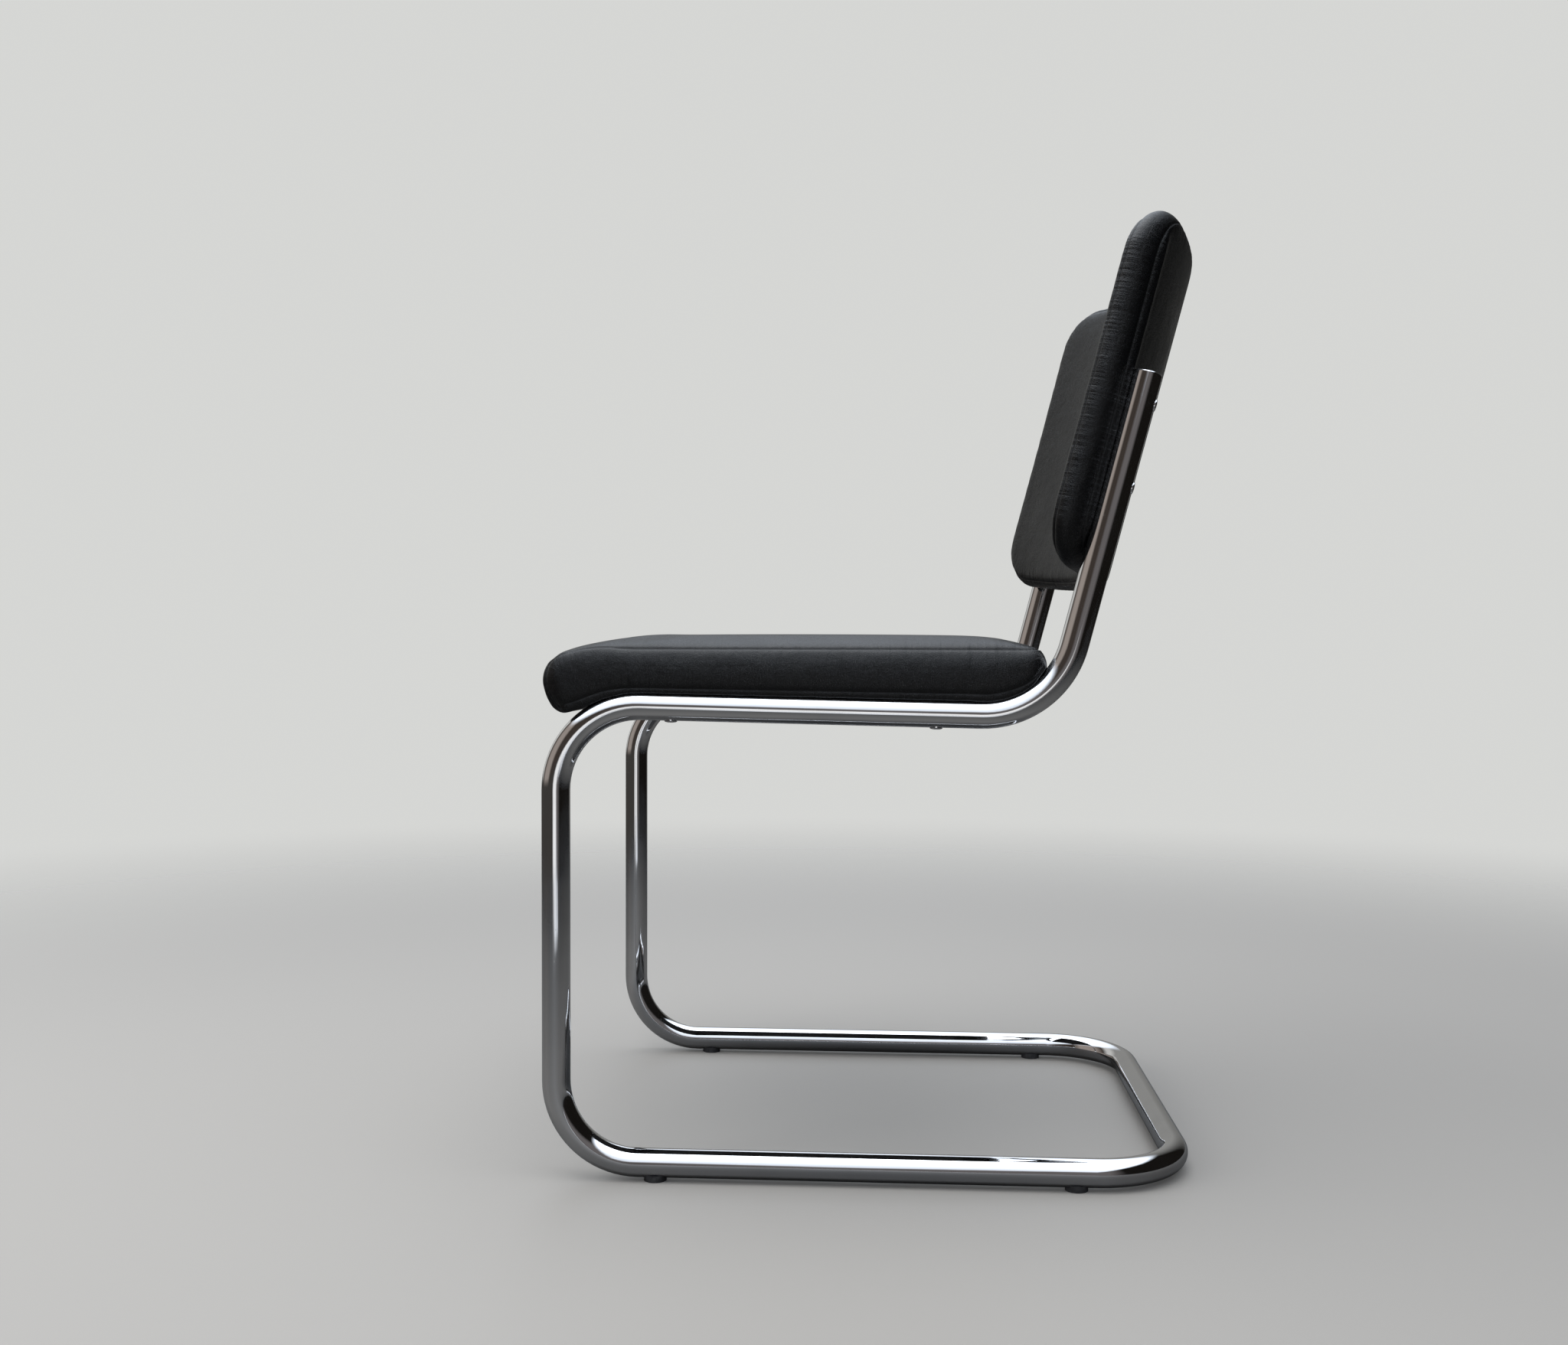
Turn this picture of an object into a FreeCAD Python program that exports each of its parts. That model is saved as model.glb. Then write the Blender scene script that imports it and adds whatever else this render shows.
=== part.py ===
import FreeCAD, Part
import math
import os
import Sketcher

# Cantilever dining chair: one bent steel tube carries a padded seat and a curved padded back.
# Millimetres, +Z up, the sitter faces -Y, mirror-symmetric about X = 0.
# The origin is on the floor, under the middle of the chair's box.

V = FreeCAD.Vector
doc = FreeCAD.newDocument("cantilever_chair")
sheet = doc.addObject("Spreadsheet::Sheet", "sizes")

# Driving dimensions. Lengths in mm, angles in degrees.
SIZES = {
    # tube and its bends
    "tube_diameter": 25,
    "tube_wall": 2,
    "tube_track": 446,
    "front_setback": 282.8,
    "floor_straight": 399,
    "floor_bend": 72,
    "corner_bend": 80,
    "front_straight": 256,
    "front_bend": 74,
    "rail_slope": 1.1,
    "rail_straight": 294,
    "rear_bend": 80,
    "back_lean": 14.5,
    "back_straight": 237,
    # end plugs and glides
    "plug_height": 2.4,
    "plug_bevel": 2,
    "plug_stem": 14,
    "plug_stem_diameter": 20.6,
    "glide_height": 2.5,
    "glide_diameter": 20,
    "glide_wrap": 3.5,
    "glide_peg_diameter": 6,
    "glide_peg": 6,
    "glide_inset": 16,
    # seat pad
    "seat_width": 471,
    "seat_front_reach": 12.5,
    "seat_crown_height": 480,
    "seat_seam_height": 467,
    "seat_rear_reach": 426.5,
    "seat_nose_height": 437.6,
    "seat_lip_height": 410.6,
    "seat_lip_setback": 8,
    "seat_crown_start": 107,
    "seat_crown_end": 372,
    "seat_seam_start": 62,
    "seat_seam_foot": 33,
    "seat_board_length": 309,
    "seat_front_corner": 18,
    "seat_rear_corner": 45,
    "seat_board_thickness": 10,
    "seat_board_inset": 7,
    "seat_nose_radius": 26,
    "leather": 1.4,
    "leather_turn": 24,
    "dust_cover_thickness": 0.8,
    # back pad, measured in the leaning frame of the back uprights
    "back_width": 465,
    "back_bottom": 131,
    "back_top": 439,
    "back_corner": 42,
    "back_curve": 517,
    "back_bow": 36.7,
    "back_band": 28.5,
    "back_front_crown": 3.5,
    "back_front_roll": 4,
    "back_rear_roll": 1.6,
    "back_roll_length": 11,
    "back_board_thickness": 12,
    "back_board_inset": 6,
    # fasteners
    "screw_head_diameter": 11,
    "screw_head_height": 1.5,
    "screw_head_bevel": 1.6,
    "screw_diameter": 6,
    "seat_screw_length": 39,
    "seat_screw_from_bend": 26,
    "seat_screw_spacing": 230,
    "tee_flange_diameter": 18,
    "tee_flange_thickness": 1.2,
    "tee_barrel_diameter": 7.8,
    "tee_barrel_length": 10,
    "back_screw_length": 40,
    "back_screw_low": 204,
    "back_screw_spacing": 72,
    "insert_diameter": 8,
    "insert_length": 9,
}
for row, (alias, number) in enumerate(SIZES.items(), start=1):
    sheet.set(f"A{row}", alias.replace("_", " "))
    sheet.set(f"B{row}", str(number))
    sheet.setAlias(f"B{row}", alias)
doc.recompute()

# The straight edge of a screw's head, below its bevel.
SCREW_RIM = 0.4
# The straight edge of a plug's flange, below its bevel.
PLUG_RIM = 0.8
# Leather that lies on the tube stays this far off it, so the two never overlap.
CONTACT_GAP = 0.05
# A glide's peg starts inside its disc.
PEG_ROOT = 1.0
# Places on the seat's side view, as angles round its nose and round the tube's bends.
NOSE_TOP_ANGLE = 110
NOSE_MIDDLE_ANGLE = 165
NOSE_FOOT_ANGLE = 215
LIFT_OFF_ANGLE = 119
REAR_TIP_ANGLE = -34
REAR_TIP_LEAN = 16
BOARD_TIP_ANGLE = 124
# How far the crown rises over its ends, and how the rear rounds over.
CROWN_RISE = 0.7
SHOULDER_BACK = 16.5
SHOULDER_UP = 18.0
# How the seat's band and crown draw in from its full width.
BAND_FOOT_DRAW = 3.5
BAND_SEAM_DRAW = 2.0
CROWN_ROLL = 36
CROWN_ROLL_DROP = 3.0
# The opening in the leather under the seat, and the gap round the cover in it.
OPENING_CORNER = 30
OPENING_CLEAR = 3.5
COVER_GAP = 0.3
# The back's section is turned through this angle, and its board is padded thinly behind.
BACK_SWEEP = 66
BACK_WADDING = 0.6
ROLL_LEAN = 3
INSERT_PAST_TIP = 0.3
# The top panel wraps this far round the nose, as seen from the side.
NOSE_WRAP = 6
# The board is drawn this far below its underside, and the leather's inner face trims it.
BOARD_OVERCUT = 4
# How far the seat's front view and side view reach past what they enclose.
SEAT_FOOT_SPARE = 6
BAND_FOOT_SPARE = 5
BAND_LIP_BACK = 4
BAND_SPARE_BELOW = 20
BAND_SPARE_BEHIND = 30
# The middle of the crown's roll, as shares of its width and of its rise.
ROLL_MIDDLE_IN = 0.3
ROLL_MIDDLE_UP = 0.62
# Long enough to pass through a whole pad, both ways.
THROUGH = 600
# Two ends closer than this are the same point.
SAME_POINT = 0.01


def size(alias):
    """One driving dimension, read back from the sheet."""
    return float(getattr(sheet, alias))


def cell(alias):
    """The expression that names a cell of the sheet."""
    return f"<<sizes>>.{alias}"


def rad(alias):
    return math.radians(size(alias))


# Bend points of the left side of the tube's centre line, as (y, z) in the side view.
front_y = -size("front_setback")
floor_z = size("glide_height") + size("tube_diameter") / 2
tube_radius = size("tube_diameter") / 2
half_track = size("tube_track") / 2
slope = rad("rail_slope")
lean = rad("back_lean")

floor_bend_centre = (front_y + size("floor_bend"), floor_z + size("floor_bend"))
front_bend_centre = (
    front_y + size("front_bend"),
    floor_bend_centre[1] + size("front_straight"),
)
rail_front = (
    front_bend_centre[0] + size("front_bend") * math.sin(slope),
    front_bend_centre[1] + size("front_bend") * math.cos(slope),
)
rail_rear = (
    rail_front[0] + size("rail_straight") * math.cos(slope),
    rail_front[1] - size("rail_straight") * math.sin(slope),
)
rear_bend_centre = (
    rail_rear[0] + size("rear_bend") * math.sin(slope),
    rail_rear[1] + size("rear_bend") * math.cos(slope),
)
back_foot = (
    rear_bend_centre[0] + size("rear_bend") * math.cos(lean),
    rear_bend_centre[1] - size("rear_bend") * math.sin(lean),
)
back_end = (
    back_foot[0] + size("back_straight") * math.sin(lean),
    back_foot[1] + size("back_straight") * math.cos(lean),
)
# Where the rail and the back upright would meet without the bend between them.
corner_reach = size("rear_bend") * math.tan((math.pi / 2 - lean + slope) / 2)
back_corner = (
    back_foot[0] - corner_reach * math.sin(lean),
    back_foot[1] - corner_reach * math.cos(lean),
)
floor_end_y = floor_bend_centre[0] + size("floor_straight")
rear_axis_y = floor_end_y + size("corner_bend")


def new_body(label):
    body = doc.addObject("PartDesign::Body", label)
    body.Label = label
    return body


def new_sketch(body, name, role, offset=V(0, 0, 0), turn=0.0):
    """A sketch on one of the body's own origin planes, moved and turned in that plane."""
    sketch = body.newObject("Sketcher::SketchObject", name)
    sketch.AttachmentSupport = [(origin_plane(body, role), "")]
    sketch.MapMode = "FlatFace"
    sketch.AttachmentOffset = FreeCAD.Placement(offset, FreeCAD.Rotation(V(0, 0, 1), turn))
    return sketch


def origin_plane(body, role):
    return [item for item in body.Origin.OriginFeatures if item.Role == role][0]


def dimension(sketch, name, expression, *arguments):
    """A named dimension of a sketch that follows the sheet."""
    index = sketch.addConstraint(Sketcher.Constraint(*arguments))
    sketch.renameConstraint(index, name)
    sketch.setExpression(f"Constraints.{name}", expression)


def line(start, end):
    return Part.LineSegment(V(start[0], start[1], 0), V(end[0], end[1], 0))


def arc(start, middle, end):
    return Part.Arc(
        V(start[0], start[1], 0), V(middle[0], middle[1], 0), V(end[0], end[1], 0)
    )


def on_circle(centre, radius, degrees):
    angle = math.radians(degrees)
    return (centre[0] + radius * math.cos(angle), centre[1] + radius * math.sin(angle))


def join_smoothly(sketch, first, second):
    """Ties two neighbouring lines or arcs end to end and tangent."""
    for first_end in (1, 2):
        for second_end in (1, 2):
            gap = sketch.getPoint(first, first_end) - sketch.getPoint(second, second_end)
            if gap.Length < SAME_POINT:
                sketch.addConstraint(
                    Sketcher.Constraint("Tangent", first, first_end, second, second_end)
                )
                return
    raise ValueError(f"{sketch.Name}: {first} and {second} do not meet")


def draw_side_path(body):
    """The straights and bends of one side, from the top of the back to the rear of the floor."""
    path = new_sketch(body, "side_path", "YZ_Plane", V(0, 0, half_track))
    path.setExpression("AttachmentOffset.Base.z", f"{cell('tube_track')} / 2")
    upright_top = (front_y, front_bend_centre[1])
    upright_foot = (front_y, floor_bend_centre[1])
    floor_start = (floor_bend_centre[0], floor_z)
    # A middle point of each bend, by its angle round the bend's centre.
    middle_rear = on_circle(
        rear_bend_centre, size("rear_bend"), -(90 + size("rail_slope") + size("back_lean")) / 2
    )
    middle_front = on_circle(front_bend_centre, size("front_bend"), 135)
    middle_floor = on_circle(floor_bend_centre, size("floor_bend"), 225)
    back, rear_arc, rail, front_arc, upright, floor_arc, floor = range(7)
    path.addGeometry(
        [
            line(back_foot, back_end),
            arc(back_foot, middle_rear, rail_rear),
            line(rail_front, rail_rear),
            arc(rail_front, middle_front, upright_top),
            line(upright_top, upright_foot),
            arc(upright_foot, middle_floor, floor_start),
            line(floor_start, (floor_end_y, floor_z)),
        ],
        False,
    )
    for index in range(floor):
        join_smoothly(path, index, index + 1)
    path.addConstraint(Sketcher.Constraint("Vertical", upright))
    path.addConstraint(Sketcher.Constraint("Horizontal", floor))
    for index, alias in ((rear_arc, "rear_bend"), (front_arc, "front_bend"), (floor_arc, "floor_bend")):
        dimension(path, alias, cell(alias), "Radius", index, size(alias))
    for index, alias in (
        (back, "back_straight"),
        (rail, "rail_straight"),
        (upright, "front_straight"),
        (floor, "floor_straight"),
    ):
        dimension(path, alias, cell(alias), "Distance", index, size(alias))
    dimension(path, "lean", f"90 - {cell('back_lean')}", "Angle", back, math.pi / 2 - lean)
    dimension(path, "slope", f"-{cell('rail_slope')}", "Angle", rail, -slope)
    dimension(path, "setback", cell("front_setback"), "DistanceX", upright, 1, -1, 1, -front_y)
    dimension(
        path,
        "height",
        f"{cell('glide_height')} + {cell('tube_diameter')} / 2",
        "DistanceY",
        -1,
        1,
        floor,
        1,
        floor_z,
    )
    return path


def draw_tube_section(body):
    """Both circles of the tube, where a side run ends and the rear loop starts."""
    section = new_sketch(body, "tube_section", "XZ_Plane", V(half_track, floor_z, -floor_end_y))
    for index, (name, expression, diameter) in enumerate(
        (
            ("outer", cell("tube_diameter"), 2 * tube_radius),
            (
                "inner",
                f"{cell('tube_diameter')} - 2 * {cell('tube_wall')}",
                2 * (tube_radius - size("tube_wall")),
            ),
        )
    ):
        section.addGeometry(Part.Circle(V(0, 0, 0), V(0, 0, 1), diameter / 2), False)
        section.addConstraint(Sketcher.Constraint("Coincident", index, 3, -1, 1))
        dimension(section, name, expression, "Diameter", index, diameter)
    return section


def draw_rear_loop(body):
    """The run that joins both sides on the floor, with a quarter bend at each corner."""
    loop = new_sketch(body, "loop_path", "XY_Plane", V(0, 0, floor_z))
    corner = size("corner_bend")
    inner_x = half_track - corner
    left_centre, right_centre = (inner_x, floor_end_y), (-inner_x, floor_end_y)
    loop.addGeometry(
        [
            arc(
                (half_track, floor_end_y),
                on_circle(left_centre, corner, 45),
                (inner_x, rear_axis_y),
            ),
            line((inner_x, rear_axis_y), (-inner_x, rear_axis_y)),
            arc(
                (-inner_x, rear_axis_y),
                on_circle(right_centre, corner, 135),
                (-half_track, floor_end_y),
            ),
        ],
        False,
    )
    join_smoothly(loop, 0, 1)
    join_smoothly(loop, 1, 2)
    loop.addConstraint(Sketcher.Constraint("Horizontal", 1))
    loop.addConstraint(Sketcher.Constraint("Equal", 0, 2))
    dimension(loop, "corner", cell("corner_bend"), "Radius", 0, corner)
    dimension(
        loop,
        "cross",
        f"{cell('tube_track')} - 2 * {cell('corner_bend')}",
        "Distance",
        1,
        2 * inner_x,
    )
    return loop


def sweep_tube(body, name, section, path):
    """Sweeps the tube's section along every edge of a path."""
    run = body.newObject("PartDesign::AdditivePipe", name)
    run.Profile = section
    run.Spine = (path, [f"Edge{index + 1}" for index in range(path.GeometryCount)])
    body.Tip = run
    return run


def make_tube_frame():
    """The whole frame is one bent tube: two side runs and the loop that joins them behind."""
    body = new_body("tube_frame")
    section = draw_tube_section(body)
    side_run = sweep_tube(body, "side_run", section, draw_side_path(body))
    # The second side run is the mirror image of the first.
    other_run = body.newObject("PartDesign::Mirrored", "other_run")
    other_run.Originals = [side_run]
    other_run.MirrorPlane = (origin_plane(body, "YZ_Plane"), [""])
    body.Tip = other_run
    sweep_tube(body, "rear_loop", section, draw_rear_loop(body))
    doc.recompute()

    # Holes for the seat screws through the rails, and for the back screws through the uprights.
    drill_screw_holes(
        body,
        "seat_screw_holes",
        rail_point(size("seat_screw_from_bend")),
        -size("rail_slope"),
        "seat_screw_spacing",
    )
    drill_screw_holes(
        body,
        "back_screw_holes",
        back_point(size("back_screw_low")),
        90 - size("back_lean"),
        "back_screw_spacing",
    )
    return body


def rail_point(distance):
    """A point of the rail's centre line, this far behind the front bend, as (y, z)."""
    return (
        rail_front[0] + distance * math.cos(slope),
        rail_front[1] - distance * math.sin(slope),
    )


def back_point(height):
    """A point of the back upright's centre line, this far up the lean from the rail corner."""
    return (
        back_corner[0] + height * math.sin(lean),
        back_corner[1] + height * math.cos(lean),
    )


def tie_ends(sketch, first, second):
    for first_end in (1, 2):
        for second_end in (1, 2):
            gap = sketch.getPoint(first, first_end) - sketch.getPoint(second, second_end)
            if gap.Length < SAME_POINT:
                sketch.addConstraint(
                    Sketcher.Constraint("Coincident", first, first_end, second, second_end)
                )
                return
    raise ValueError(f"{sketch.Name}: {first} and {second} do not meet")


def close_polygon(sketch, outline):
    """Straight lines round a list of corners, tied end to end."""
    count = len(outline)
    sketch.addGeometry(
        [line(outline[index], outline[(index + 1) % count]) for index in range(count)], False
    )
    for index in range(count):
        tie_ends(sketch, index, (index + 1) % count)


def repeat_and_mirror(body, feature, sketch, spacing_alias):
    """Two of a feature along the sketch's H axis, and the same two on the other side."""
    group = body.newObject("PartDesign::MultiTransform", feature.Name + "_group")
    row = body.newObject("PartDesign::LinearPattern", feature.Name + "_row")
    row.Direction = (sketch, ["H_Axis"])
    row.Occurrences = 2
    row.setExpression("Length", cell(spacing_alias))
    twin = body.newObject("PartDesign::Mirrored", feature.Name + "_twin")
    twin.MirrorPlane = (origin_plane(body, "YZ_Plane"), [""])
    group.Originals = [feature]
    group.Transformations = [row, twin]
    body.Tip = group
    return group


def drill_screw_holes(body, name, place, turn, spacing_alias):
    """Cuts a hole for a screw right through the tube, four times."""
    sketch = new_sketch(body, name + "_outline", "YZ_Plane", V(*place, half_track), turn)
    radius = size("screw_diameter") / 2
    reach = tube_radius + size("screw_head_height")
    close_polygon(sketch, [(0, -reach), (radius, -reach), (radius, reach), (0, reach)])
    before = body.Shape.Volume
    drilled = body.newObject("PartDesign::Groove", name)
    drilled.Profile = sketch
    drilled.ReferenceAxis = (sketch, ["V_Axis"])
    drilled.Angle = 360
    body.Tip = drilled
    doc.recompute()
    repeat_and_mirror(body, drilled, sketch, spacing_alias)
    doc.recompute()
    check_cut(name, before, body.Shape.Volume)


def check_cut(name, before, after):
    print(name, "removed", round(before - after, 1), "mm3")


def make_screws(label, place, turn, spacing_alias, length_alias):
    """Four screws through the tube; their low, bevelled heads lie on the tube's round."""
    radius = size("screw_diameter") / 2
    head = size("screw_head_diameter") / 2
    tip = size(length_alias) - tube_radius
    crest = -tube_radius - size("screw_head_height")
    outline = [
        (0, tip),
        (radius, tip),
        (radius, -tube_radius),
        (head, -tube_radius),
        (head, -tube_radius - SCREW_RIM),
        (head - size("screw_head_bevel"), crest),
        (0, crest),
    ]
    return make_turned_four(label, place, turn, spacing_alias, outline)


def make_turned_four(label, place, turn, spacing_alias, outline):
    """Four turned fasteners; outline lists (radius, height) points round half the section."""
    body = new_body(label)
    sketch = new_sketch(body, label + "_outline", "YZ_Plane", V(*place, half_track), turn)
    close_polygon(sketch, outline)
    turned = body.newObject("PartDesign::Revolution", label + "_turned")
    turned.Profile = sketch
    turned.ReferenceAxis = (sketch, ["V_Axis"])
    turned.Angle = 360
    body.Tip = turned
    doc.recompute()
    repeat_and_mirror(body, turned, sketch, spacing_alias)
    return body


def make_end_plug(label, side):
    """A plug with a bevelled rim that closes the upper end of one back upright."""
    body = new_body(label)
    sketch = new_sketch(body, label + "_outline", "YZ_Plane")
    stem = size("plug_stem_diameter") / 2
    crest = size("plug_height")
    outline = [
        (0, -size("plug_stem")),
        (stem, -size("plug_stem")),
        (stem, 0),
        (tube_radius, 0),
        (tube_radius, PLUG_RIM),
        (tube_radius - size("plug_bevel"), crest),
        (0, crest),
    ]
    close_polygon(sketch, outline)
    dimension(
        sketch, "radius", f"{cell('tube_diameter')} / 2", "DistanceX", -1, 1, 3, 1, tube_radius
    )
    plug = body.newObject("PartDesign::Revolution", label + "_turned")
    plug.Profile = sketch
    plug.ReferenceAxis = (sketch, ["V_Axis"])
    plug.Angle = 360
    body.Tip = plug
    body.Placement = FreeCAD.Placement(
        V(side * half_track, *back_end), FreeCAD.Rotation(V(1, 0, 0), -size("back_lean"))
    )
    return body


def make_glide(label, x, y):
    """A small plastic foot: a disc that cups the tube, with a peg into the tube's wall."""
    body = new_body(label)
    disc_outline = new_sketch(body, label + "_disc", "XY_Plane")
    disc_outline.addGeometry(Part.Circle(V(0, 0, 0), V(0, 0, 1), size("glide_diameter") / 2), False)
    disc_outline.addConstraint(Sketcher.Constraint("Coincident", 0, 3, -1, 1))
    dimension(
        disc_outline, "disc", cell("glide_diameter"), "Diameter", 0, size("glide_diameter")
    )
    disc = body.newObject("PartDesign::Pad", label + "_pad")
    disc.Profile = disc_outline
    disc.setExpression("Length", f"{cell('glide_height')} + {cell('glide_wrap')}")

    cup_outline = new_sketch(body, label + "_cup", "XZ_Plane", V(0, floor_z, 0))
    cup_outline.addGeometry(Part.Circle(V(0, 0, 0), V(0, 0, 1), tube_radius), False)
    cup_outline.addConstraint(Sketcher.Constraint("Coincident", 0, 3, -1, 1))
    dimension(cup_outline, "tube", cell("tube_diameter"), "Diameter", 0, 2 * tube_radius)
    doc.recompute()
    full = body.Shape.Volume
    cup = body.newObject("PartDesign::Pocket", label + "_hollow")
    cup.Profile = cup_outline
    cup.Midplane = True
    cup.Type = "ThroughAll"
    doc.recompute()
    check_cut(label + " hollow", full, cup.Shape.Volume)

    peg_outline = new_sketch(body, label + "_peg", "XY_Plane", V(0, 0, PEG_ROOT))
    peg_outline.addGeometry(
        Part.Circle(V(0, 0, 0), V(0, 0, 1), size("glide_peg_diameter") / 2), False
    )
    peg_outline.addConstraint(Sketcher.Constraint("Coincident", 0, 3, -1, 1))
    dimension(
        peg_outline, "peg", cell("glide_peg_diameter"), "Diameter", 0, size("glide_peg_diameter")
    )
    peg = body.newObject("PartDesign::Pad", label + "_pin")
    peg.Profile = peg_outline
    peg.setExpression("Length", cell("glide_peg"))
    body.Tip = peg
    body.Placement = FreeCAD.Placement(V(x, y, 0), FreeCAD.Rotation())
    return body


# Where a sketch lies in the side view, in the front view and in the view from above.
SIDE_PLANE = FreeCAD.Placement(V(0, 0, 0), FreeCAD.Rotation(V(1, 1, 1), 120))
FRONT_PLANE = FreeCAD.Placement(V(0, 0, 0), FreeCAD.Rotation(V(1, 0, 0), 90))
TOP_PLANE = FreeCAD.Placement()


def free_sketch(name, placement, geometry):
    """A closed outline outside any body, with its neighbours tied end to end."""
    sketch = doc.addObject("Sketcher::SketchObject", name)
    sketch.Placement = placement
    sketch.addGeometry(geometry, False)
    for index in range(len(geometry)):
        tie_ends(sketch, index, (index + 1) % len(geometry))
    return sketch


def inset_outline(name, source, expression):
    """The same outline, drawn in evenly by a thickness."""
    inner = doc.addObject("Part::Offset2D", name)
    inner.Source = source
    inner.Fill = False
    inner.setExpression("Value", f"-({expression})")
    return inner


def extruded(name, source, reach=THROUGH):
    """A solid both ways from an outline, reach to each side."""
    solid = doc.addObject("Part::Extrusion", name)
    solid.Base = source
    solid.DirMode = "Normal"
    solid.Solid = True
    solid.Symmetric = True
    solid.LengthFwd = 2 * reach
    return solid


def common(name, *sources):
    shared = doc.addObject("Part::MultiCommon", name)
    shared.Shapes = list(sources)
    return shared


def cut(name, base, tool):
    result = doc.addObject("Part::Cut", name)
    result.Base = base
    result.Tool = tool
    return result


def fused(name, *sources):
    whole = doc.addObject("Part::MultiFuse", name)
    whole.Shapes = list(sources)
    return whole


def named(item, label):
    item.Label = label
    return item


def rounded_outline(half_width, low, high, low_radius, high_radius):
    """A rectangle with round corners, as lines and quarter arcs, counter-clockwise."""
    corners = (
        ((half_width - low_radius, low + low_radius), low_radius, -90),
        ((half_width - high_radius, high - high_radius), high_radius, 0),
        ((-half_width + high_radius, high - high_radius), high_radius, 90),
        ((-half_width + low_radius, low + low_radius), low_radius, 180),
    )
    geometry = []
    for index, (centre, radius, start) in enumerate(corners):
        first = on_circle(centre, radius, start)
        last = on_circle(centre, radius, start + 90)
        geometry.append(arc(first, on_circle(centre, radius, start + 45), last))
        next_centre, next_radius, next_start = corners[(index + 1) % 4]
        geometry.append(line(last, on_circle(next_centre, next_radius, next_start)))
    return geometry


def heading_arc(start, heading, end):
    """An arc that leaves start in a heading, in degrees, and ends at end."""
    chord = (end[0] - start[0], end[1] - start[1])
    turn = math.atan2(chord[1], chord[0]) - math.radians(heading)
    length = math.hypot(*chord)
    bulge = math.tan(turn / 2) * length / 2
    middle = (
        (start[0] + end[0]) / 2 + bulge * chord[1] / length,
        (start[1] + end[1]) / 2 - bulge * chord[0] / length,
    )
    return arc(start, middle, end)


# Outer surface of the rail and of its bends, where the seat lies on it.
rest_height = tube_radius + CONTACT_GAP
rest_front = (
    rail_front[0] + rest_height * math.sin(slope),
    rail_front[1] + rest_height * math.cos(slope),
)
rest_rear = (
    rail_rear[0] + rest_height * math.sin(slope),
    rail_rear[1] + rest_height * math.cos(slope),
)
front_rest_radius = size("front_bend") + rest_height
rear_rest_radius = size("rear_bend") - rest_height


def seat_side_outline():
    """The seat from the side: flat on the rails, a drooping nose, a long crown, a round rear."""
    nose = size("seat_nose_radius")
    nose_centre = (front_y - size("seat_front_reach") + nose, size("seat_nose_height"))
    nose_top = on_circle(nose_centre, nose, NOSE_TOP_ANGLE)
    nose_foot = on_circle(nose_centre, nose, NOSE_FOOT_ANGLE)
    lip_bottom = (front_y + size("seat_lip_setback"), size("seat_lip_height"))
    lift_off = on_circle(front_bend_centre, front_rest_radius, LIFT_OFF_ANGLE)
    seat_bend_middle = on_circle(
        front_bend_centre, front_rest_radius, (LIFT_OFF_ANGLE + 90 - size("rail_slope")) / 2
    )
    rear_tip = on_circle(rear_bend_centre, rear_rest_radius, REAR_TIP_ANGLE)
    rear_middle = on_circle(
        rear_bend_centre, rear_rest_radius, (REAR_TIP_ANGLE - 90 - size("rail_slope")) / 2
    )
    crown_level = size("seat_crown_height") - CROWN_RISE
    crown_front = (front_y + size("seat_crown_start"), crown_level)
    crown_rear = (front_y + size("seat_crown_end"), crown_level)
    crown_middle = ((crown_front[0] + crown_rear[0]) / 2, size("seat_crown_height"))
    shoulder = (rear_tip[0] - SHOULDER_BACK, rear_tip[1] + SHOULDER_UP)
    return [
        line(rest_front, rest_rear),
        arc(rest_rear, rear_middle, rear_tip),
        heading_arc(rear_tip, 90 + REAR_TIP_LEAN, shoulder),
        heading_arc(crown_rear, 0, shoulder),
        arc(crown_rear, crown_middle, crown_front),
        heading_arc(crown_front, 180, nose_top),
        arc(nose_top, on_circle(nose_centre, nose, NOSE_MIDDLE_ANGLE), nose_foot),
        heading_arc(nose_foot, NOSE_FOOT_ANGLE + 90, lip_bottom),
        heading_arc(lip_bottom, 0, lift_off),
        arc(lift_off, seat_bend_middle, rest_front),
    ]


def seat_front_outline():
    """The seat from the front: drawn-in foot, a slightly full band, and a crowned top."""
    half = size("seat_width") / 2
    seam = size("seat_seam_height")
    crown = size("seat_crown_height")
    low = size("seat_lip_height") - SEAT_FOOT_SPARE
    band_foot = rest_front[1] - BAND_FOOT_SPARE
    band_middle = (band_foot + seam) / 2
    foot_x, seam_x = half - BAND_FOOT_DRAW, half - BAND_SEAM_DRAW
    roll_x = half - CROWN_ROLL
    roll_z = crown - CROWN_ROLL_DROP
    roll_middle = (seam_x - ROLL_MIDDLE_IN * CROWN_ROLL, seam + ROLL_MIDDLE_UP * (roll_z - seam))
    return [
        line((-foot_x, low), (foot_x, low)),
        line((foot_x, low), (foot_x, band_foot)),
        arc((foot_x, band_foot), (half, band_middle), (seam_x, seam)),
        arc((seam_x, seam), roll_middle, (roll_x, roll_z)),
        arc((roll_x, roll_z), (0, crown), (-roll_x, roll_z)),
        arc((-roll_x, roll_z), (-roll_middle[0], roll_middle[1]), (-seam_x, seam)),
        arc((-seam_x, seam), (-half, band_middle), (-foot_x, band_foot)),
        line((-foot_x, band_foot), (-foot_x, low)),
    ]


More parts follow.
